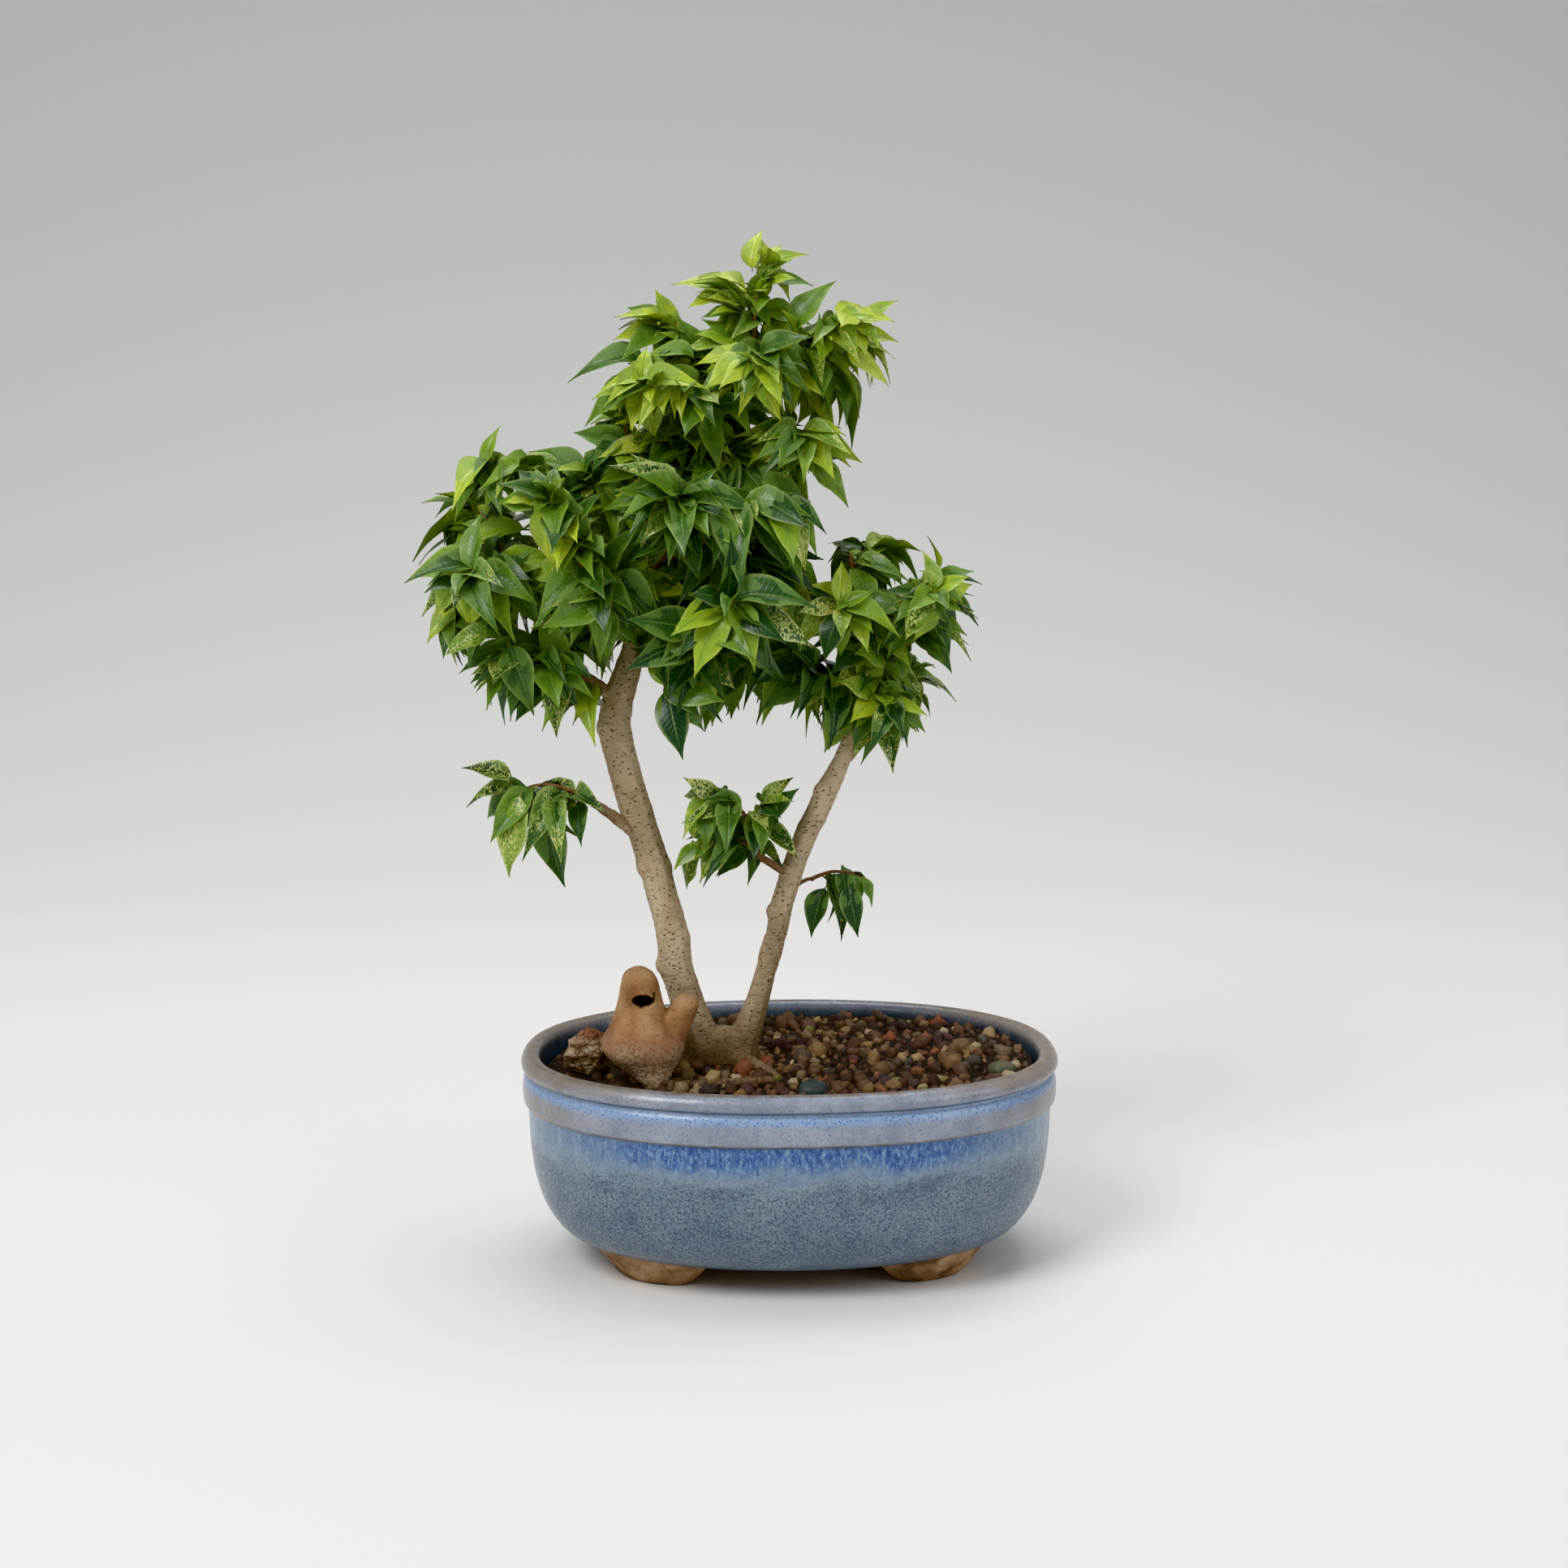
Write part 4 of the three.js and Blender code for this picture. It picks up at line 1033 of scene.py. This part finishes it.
# how light the leaves of each puff are, which is painted light and shade (high and outer puffs lighter, low
# and inner ones darker) as well as their age, how flecked they are, and how many more each of its twigs
# gets
PUFFS = {
    "low_left": (0.32, 0.5, 4),
    "low_inner": (0.34, 0.6, 8),
    "low_outer": (0.28, 0.4, 0),
    "left": (0.44, 0.2, 32),
    "middle": (0.30, 0.12, 30),
    "upper": (0.55, 0.2, 34),
    "top": (0.68, 0.4, 20),
    "top_right": (0.66, 0.3, 20),
    "right": (0.45, 0.35, 26),
}
leaf_recipe = spray_recipe(kinds_of("leaf", [leaf_shape(k, *bend) for k, bend in enumerate(LEAF_BENDS)]))
leaf_finish = fig_leaf()
twig_finish = red_twig()
draw = random.Random(LEAF_SEED)
sprays = sorted(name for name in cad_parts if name.startswith("spray_"))
read = {name: leaves_in(name) for name in sprays}
taken = []
for leaves, _ in read.values():
    taken += [foot + turn @ Vector((0, length / 2, 0)) for foot, turn, length in leaves]
on_branches = branch_leaves({name: start for name, (_, start) in read.items()}, taken, draw)
standing_out = outline_leaves()
for name, (leaves, start) in read.items():
    shown = [leaf for leaf in leaves if not hides_trunk(leaf[0], leaf[1].col[1], leaf[2])] or leaves
    leaves = []
    for foot, turn, length in shown:
        leaves.append((foot, turned_out(foot, turn.col[1], turn.col[2], draw), length))
    leaves.sort(key=lambda leaf: (leaf[0] - start).length)
    at_wood, outward = wood_skin.find_nearest(start)[:2]
    stations = [at_wood - outward * 1.2 * MM, start, *(foot for foot, _, _ in leaves[::3]), leaves[-1][0]]
    stations.append(stations[-1] + (stations[-1] - stations[-2]).normalized() * 3 * MM)
    line = smooth_line(stations, 4)
    light_and_age, flecked, most = PUFFS[puff_of(name)]
    leaves += more_leaves(line, leaves, most, taken, draw) + on_branches[name] + standing_out.get(name, [])
    ends = [0] * len(line) + [1] * len(leaves)
    spray = bpy.data.meshes.new(name)
    places = [*line, *(foot for foot, _, _ in leaves)]
    spray.from_pydata([tuple(p) for p in places], [(i, i + 1) for i in range(len(line) - 1)], [])
    reach = max((p - start).length for p in places)
    turns, sizes, kinds, tints_and_light, creams = [], [], [], [], []
    for foot, turn, length in leaves:
        outer = (foot - start).length / reach
        height = (foot.z - CROWN_FOOT) / CROWN_HEIGHT
        turns.append(turn.to_euler())
        length *= 1.1 if length > BIG_LEAF else draw.uniform(0.74, 1.1)
        sizes.append((length * draw.uniform(0.88, 1.14), length, length))
        kinds.append(draw.randrange(len(LEAF_BENDS)))
        # painted light and shade: leaves higher in the crown and further out are lighter, those low and
        # inside darker; the lighter tips are also the lime of new leaves
        tint = light_and_age + 0.25 * (outer - 0.6) + 0.12 * height + draw.uniform(-0.3, 0.26) * (0.6 + outer)
        tints_and_light.append(tint + (0.3 if draw.random() < 0.1 else 0))
        creams.append(draw.uniform(0.4, 1) if draw.random() < flecked * 0.7 else 0)
    plain = [0] * len(line)
    for label, kind, values in (
        ("leaf", "FLOAT", ends),
        ("taper", "FLOAT", [*np.linspace(1.25, 0.6, len(line)), *[0] * len(leaves)]),
        ("kind", "INT", plain + kinds),
        ("tint", "FLOAT", plain + tints_and_light),
        ("cream", "FLOAT", plain + creams),
    ):
        spray.attributes.new(label, kind, "POINT").data.foreach_set("value", values)
    for label, vectors in (("turn", turns), ("size", sizes)):
        flat = [0.0] * 3 * len(line) + [c for vector in vectors for c in vector]
        spray.attributes.new(label, "FLOAT_VECTOR", "POINT").data.foreach_set("vector", flat)
    twig = follow(
        new_object(name.replace("spray", "leafy_twig"), spray),
        leaf_recipe,
        girth=0.8 * MM,
        twig_sides=6,
        leaf_finish=leaf_finish,
        twig_finish=twig_finish,
    )
    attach(twig, "root")
    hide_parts(name)

# ---------------------------------------------------------------------------------------------------
# The bird whistle: a hollow bird pinched out of red clay by hand and fired without glaze, with a blow
# hole in its breast and a stub tail. Its lower end is crusted pale with lime from the wet gravel.
# ---------------------------------------------------------------------------------------------------
WHISTLE_GRAIN = 0.6 * MM
whistle_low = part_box("bird_whistle")[0]
WHISTLE_FOOT = POT_CENTRE + Vector((-66, -32, 86)) * MM
# up the bird: height above its foot, radius, and how far its middle lies to the right and the front, in mm
WHISTLE_OUTLINE = [
    (1.2, 1.0, 7, 12), (2.6, 3.4, 6.4, 11), (5, 6.2, 5.2, 8.5), (8.5, 9.8, 3.6, 5.5), (12.5, 14, 2, 2.4),
    (16, 17.2, 1, 0.8), (19.5, 18.2, 0.6, 0), (23, 16.9, 0.5, 0), (27, 14.4, 0.3, 0), (31.5, 12, 0, 0),
    (36.5, 10.4, 0, 0), (42, 9.3, -0.2, 0), (47, 8.2, -0.4, 0), (50.5, 6.3, -0.6, 0), (52.6, 3.2, -0.6, 0),
    (53.1, 0.8, -0.6, 0),
]
# along the tail: right, height and radius in mm
WHISTLE_TAIL = [
    (8, 16, 8), (13, 25, 7.6), (17, 32, 6.3), (20, 37, 5.4), (21.3, 39.5, 4.2), (21.8, 40.6, 1.5),
]
TAIL_LEAN = 0.5
MOUTH_PLACE = Vector((1.2, -9, 40)) * MM
MOUTH_HALF = 4.6 * MM
MOUTH_FLATNESS = 0.6
MOUTH_SPAN = (-4 * MM, 8.5 * MM)  # from in front of the breast to the blind end of the hole
DENT_PLACE = WHISTLE_FOOT + Vector((-2, -12.4, 31)) * MM


def round_ring(middle, radius, lean=0.0, count=40):
    turn = Matrix.Rotation(lean, 3, "Y")
    angles = [math.tau * i / count for i in range(count)]
    return [middle + turn @ Vector((math.cos(a), math.sin(a), 0)) * radius for a in angles]


def pinched(place):
    swell = 0.8 * noise.noise(place * 75) + 0.25 * noise.noise(place * 260)
    crust = max(0, 1 - (place.z - whistle_low.z) / (22 * MM))
    swell += crust * 0.9 * abs(noise.noise(place * 380))
    dent = (place - DENT_PLACE).length / (2.6 * MM)
    return (swell - 1.3 * max(0, 1 - dent)) * MM


def crusted_terracotta():
    clay = Finish("crusted_terracotta", IOR=1.4)
    level = (clay.height - whistle_low.z) / MM
    clouds = clay.mottle(9 * MM, 4)
    grain = clay.mottle(0.9 * MM, 3)
    colour = clay.ramp(
        clouds, (0.3, (0.22, 0.11, 0.055)), (0.52, (0.36, 0.205, 0.105)), (0.75, (0.46, 0.30, 0.175))
    )
    smoke = clay.mottle(4 * MM, 4, warp=0.5).rise(0.52, 0.75)
    colour = clay.blend(smoke * 0.45, colour, (0.16, 0.075, 0.03))
    red = (level + clouds * 16).bell(30, 12) * 0.5
    colour = clay.blend(red, colour, (0.22, 0.08, 0.04))
    crust = 1 - (level + clouds * 26 + grain * 12).rise(28, 48)
    colour = clay.blend(
        crust * 0.85, colour, clay.ramp(grain, (0.35, (0.20, 0.12, 0.075)), (0.62, (0.50, 0.40, 0.28)))
    )
    specks = 1 - clay.cells(1.6 * MM).rise(0.12, 0.26)
    colour = clay.blend(specks * 0.5, colour, (0.10, 0.045, 0.02))
    # painted shade: the walls of the blow hole are darkened nearly to black
    hollow = clay.node("ShaderNodeAttribute", {"attribute_name": "hollow"}, out=2)
    colour = clay.blend(hollow * 0.95, colour, (0.012, 0.006, 0.004))
    relief = clay.relief((grain, 0.25 * MM), (specks, 0.15 * MM))
    return clay.set(Base_Color=colour, Roughness=0.72 + grain * 0.2, Normal=relief)


rings = []
for height, radius, aside, forward in smooth_line(WHISTLE_OUTLINE, 3):
    rings.append(round_ring(WHISTLE_FOOT + Vector((aside, -forward, height)) * MM, radius * MM))
bird = new_object("clay_bird_whistle", stacked_rings("whistle", rings))
rings = []
for aside, height, radius in smooth_line(WHISTLE_TAIL, 3):
    rings.append(round_ring(WHISTLE_FOOT + Vector((aside, 0, height)) * MM, radius * MM, TAIL_LEAN))
cut_or_join(bird, new_object("tail", stacked_rings("tail", rings)), "UNION")
mouth = []
for depth in MOUTH_SPAN:
    flat_ring = round_ring(Vector(), MOUTH_HALF)
    ragged = [p * (1 + 0.22 * noise.noise(p * 500)) for p in flat_ring]
    mouth.append([WHISTLE_FOOT + MOUTH_PLACE + Vector((p.x, depth, p.y * MOUTH_FLATNESS)) for p in ragged])
cut_or_join(bird, new_object("mouth", stacked_rings("mouth", mouth)), "DIFFERENCE")
add_modifier(bird, "even_skin", "REMESH", mode="VOXEL", voxel_size=WHISTLE_GRAIN)
add_modifier(bird, "soften", "SMOOTH", factor=0.5, iterations=7)
settled(bird)
pushed(bird.data, pinched)
# painted shade on the walls of the hole: places in the hole's own box, in mm
mouth_shade = []
for v in bird.data.vertices:
    local = (v.co - WHISTLE_FOOT - MOUTH_PLACE) / MM
    mouth_shade.append(float(abs(local.x) < 5.2 and abs(local.z) < 3.6 and 1.6 < local.y < 9.5))
bird.data.attributes.new("hollow", "FLOAT", "POINT").data.foreach_set("value", mouth_shade)
smoothed(bird.data)
painted(bird, crusted_terracotta())
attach(bird, "root")
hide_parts("bird_whistle")

# ---------------------------------------------------------------------------------------------------
# The stones: a chip of red rock with a pale broken face, stood against the bird, and the two largest
# pebbles of the gravel, water-worn and smooth.
# ---------------------------------------------------------------------------------------------------


def chipped(place):
    strata = abs(noise.noise(Vector((place.x * 60, place.y * 60, place.z * 420))))
    return (1.6 * noise.noise(place * 130) + 0.6 * noise.noise(place * 420) - 1.1 * strata) * MM


def worn(place):
    return (0.5 * noise.noise(place * 120) + 0.12 * noise.noise(place * 500)) * MM


def red_rock():
    rock = Finish("red_chip_of_rock", IOR=1.45)
    layers = rock.mottle(5 * MM, 5, rock.stretched(0.5, 0.5, 1.8), 0.8)
    grain = rock.mottle(0.8 * MM, 3)
    colour = rock.ramp(
        layers, (0.32, (0.10, 0.05, 0.03)), (0.45, (0.34, 0.23, 0.14)), (0.6, (0.50, 0.40, 0.29))
    )
    top = (rock.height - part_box("rock_chip")[0].z + (layers - 0.5) * 0.016).rise(0.015, 0.021)
    colour = rock.blend(
        top * 0.85, colour, rock.ramp(grain, (0.3, (0.13, 0.035, 0.02)), (0.7, (0.27, 0.09, 0.045)))
    )
    ochre = rock.mottle(11 * MM, 2).rise(0.54, 0.7)
    colour = rock.blend(ochre * 0.6, colour, (0.40, 0.20, 0.04))
    cracks = rock.cells(4.5 * MM, feature="DISTANCE_TO_EDGE").rise(0.0, 0.07)
    colour = rock.blend((1 - cracks) * 0.5, colour, (0.06, 0.03, 0.02))
    relief = rock.relief((layers, 0.8 * MM), (grain, 0.3 * MM), (cracks, 0.4 * MM))
    return rock.set(Base_Color=colour, Roughness=0.75 + grain * 0.2, Normal=relief)


def worn_stone(name, dark, light):
    stone = Finish(name, IOR=1.5)
    clouds = stone.mottle(4 * MM, 5, warp=0.5)
    colour = stone.ramp(clouds, (0.3, dark), (0.7, light))
    flecks = 1 - stone.cells(1.1 * MM).rise(0.12, 0.28)
    colour = stone.blend(flecks * 0.4, colour, tuple(1.9 * c for c in light))
    return stone.set(
        Base_Color=colour, Roughness=0.42 + clouds * 0.3, Normal=stone.relief((clouds, 0.2 * MM))
    )


STONES = [
    ("chip_of_rock", "rock_chip", "rock", "SIMPLE", chipped, 0, red_rock()),
    ("dark_pebble", "pebble_grey", "dark_pebble", "CATMULL_CLARK", worn, 1.7 * MM,
     worn_stone("slate_pebble", (0.022, 0.03, 0.03), (0.075, 0.095, 0.09))),
    ("olive_pebble", "pebble_green", "olive_pebble", "CATMULL_CLARK", worn, 0.8 * MM,
     worn_stone("olive_pebble_stone", (0.035, 0.04, 0.025), (0.12, 0.125, 0.07))),
]
for name, node, slot, shaping, wear, growth, stone_finish in STONES:
    stone = merged_copy(name, node)
    add_modifier(stone, "fine", "SUBSURF", subdivision_type=shaping, levels=4, render_levels=4)
    settled(stone)
    pushed(stone.data, lambda place: wear(place) + growth)
    smoothed(stone.data)
    painted(stone, stone_finish)
    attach(stone, "root")
    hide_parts(node)

# ---------------------------------------------------------------------------------------------------
# The stage: a pale floor that curves up behind, soft studio light from large panels, and the camera
# in front of the pot, a little above it.
# ---------------------------------------------------------------------------------------------------
CAMERA_DISTANCE = 1.15
CAMERA_SWING = math.radians(-2.26)
CAMERA_HEIGHT = 0.396
CAMERA_ASIDE = -0.0025
CAMERA_DOWN = math.radians(8.99)
CAMERA_LENS = 60.56


def backdrop():
    bend = [(0.8 + 2.2 * math.sin(a), 2.2 * (1 - math.cos(a)), 0) for a in np.linspace(0, math.pi / 2, 40)]
    line = [(-2.5, 0, 0), *bend, (3, 4, 0)]
    vertices = [Vector((x, y, z)) for y, z, _ in line for x in (-5, 5)]
    faces = [(2 * i, 2 * i + 1, 2 * i + 3, 2 * i + 2) for i in range(len(line) - 1)]
    mesh = bpy.data.meshes.new("backdrop")
    mesh.from_pydata([tuple(v) for v in vertices], [], faces)
    smoothed(mesh)
    paper = Finish("pale_paper", Roughness=0.9, Specular_IOR_Level=0.2)
    paper.shader.inputs["Base Color"].default_value = (0.80, 0.79, 0.77, 1)
    mesh.materials.append(paper.material)
    return new_object("backdrop", mesh)


def panel(name, place, target, size, watts):
    light = bpy.data.lights.new(name, "AREA")
    light.shape = "RECTANGLE"
    light.size, light.size_y = size
    light.energy = watts
    lamp = bpy.data.objects.new(name, light)
    bpy.context.scene.collection.objects.link(lamp)
    lamp.location = place
    lamp.rotation_euler = (Vector(target) - Vector(place)).to_track_quat("-Z", "Y").to_euler()


backdrop()
middle = POT_CENTRE + Vector((0, 0, 0.22))
panel("key", middle + Vector((-1.0, -1.1, 1.3)), middle, (0.9, 0.9), 26)
panel("fill", middle + Vector((1.5, -1.0, 0.7)), middle, (1.2, 1.2), 9)
panel("top", middle + Vector((0.1, 0.35, 1.6)), middle, (1.2, 0.9), 14)
world = bpy.data.worlds.new("studio")
world.use_nodes = True
world.node_tree.nodes["Background"].inputs["Color"].default_value = (0.93, 0.95, 1, 1)
world.node_tree.nodes["Background"].inputs["Strength"].default_value = 0.42
bpy.context.scene.world = world

lens = bpy.data.cameras.new("camera")
lens.lens = CAMERA_LENS
lens.sensor_width = 36
camera = bpy.data.objects.new("camera", lens)
bpy.context.scene.collection.objects.link(camera)
camera.matrix_world = (
    Matrix.Translation(POT_CENTRE)
    @ Matrix.Rotation(CAMERA_SWING, 4, "Z")
    @ Matrix.Translation((CAMERA_ASIDE, -CAMERA_DISTANCE, CAMERA_HEIGHT))
    @ Matrix.Rotation(math.pi / 2 - CAMERA_DOWN, 4, "X")
)
bpy.context.scene.camera = camera
bpy.context.scene.view_settings.view_transform = "Khronos PBR Neutral"
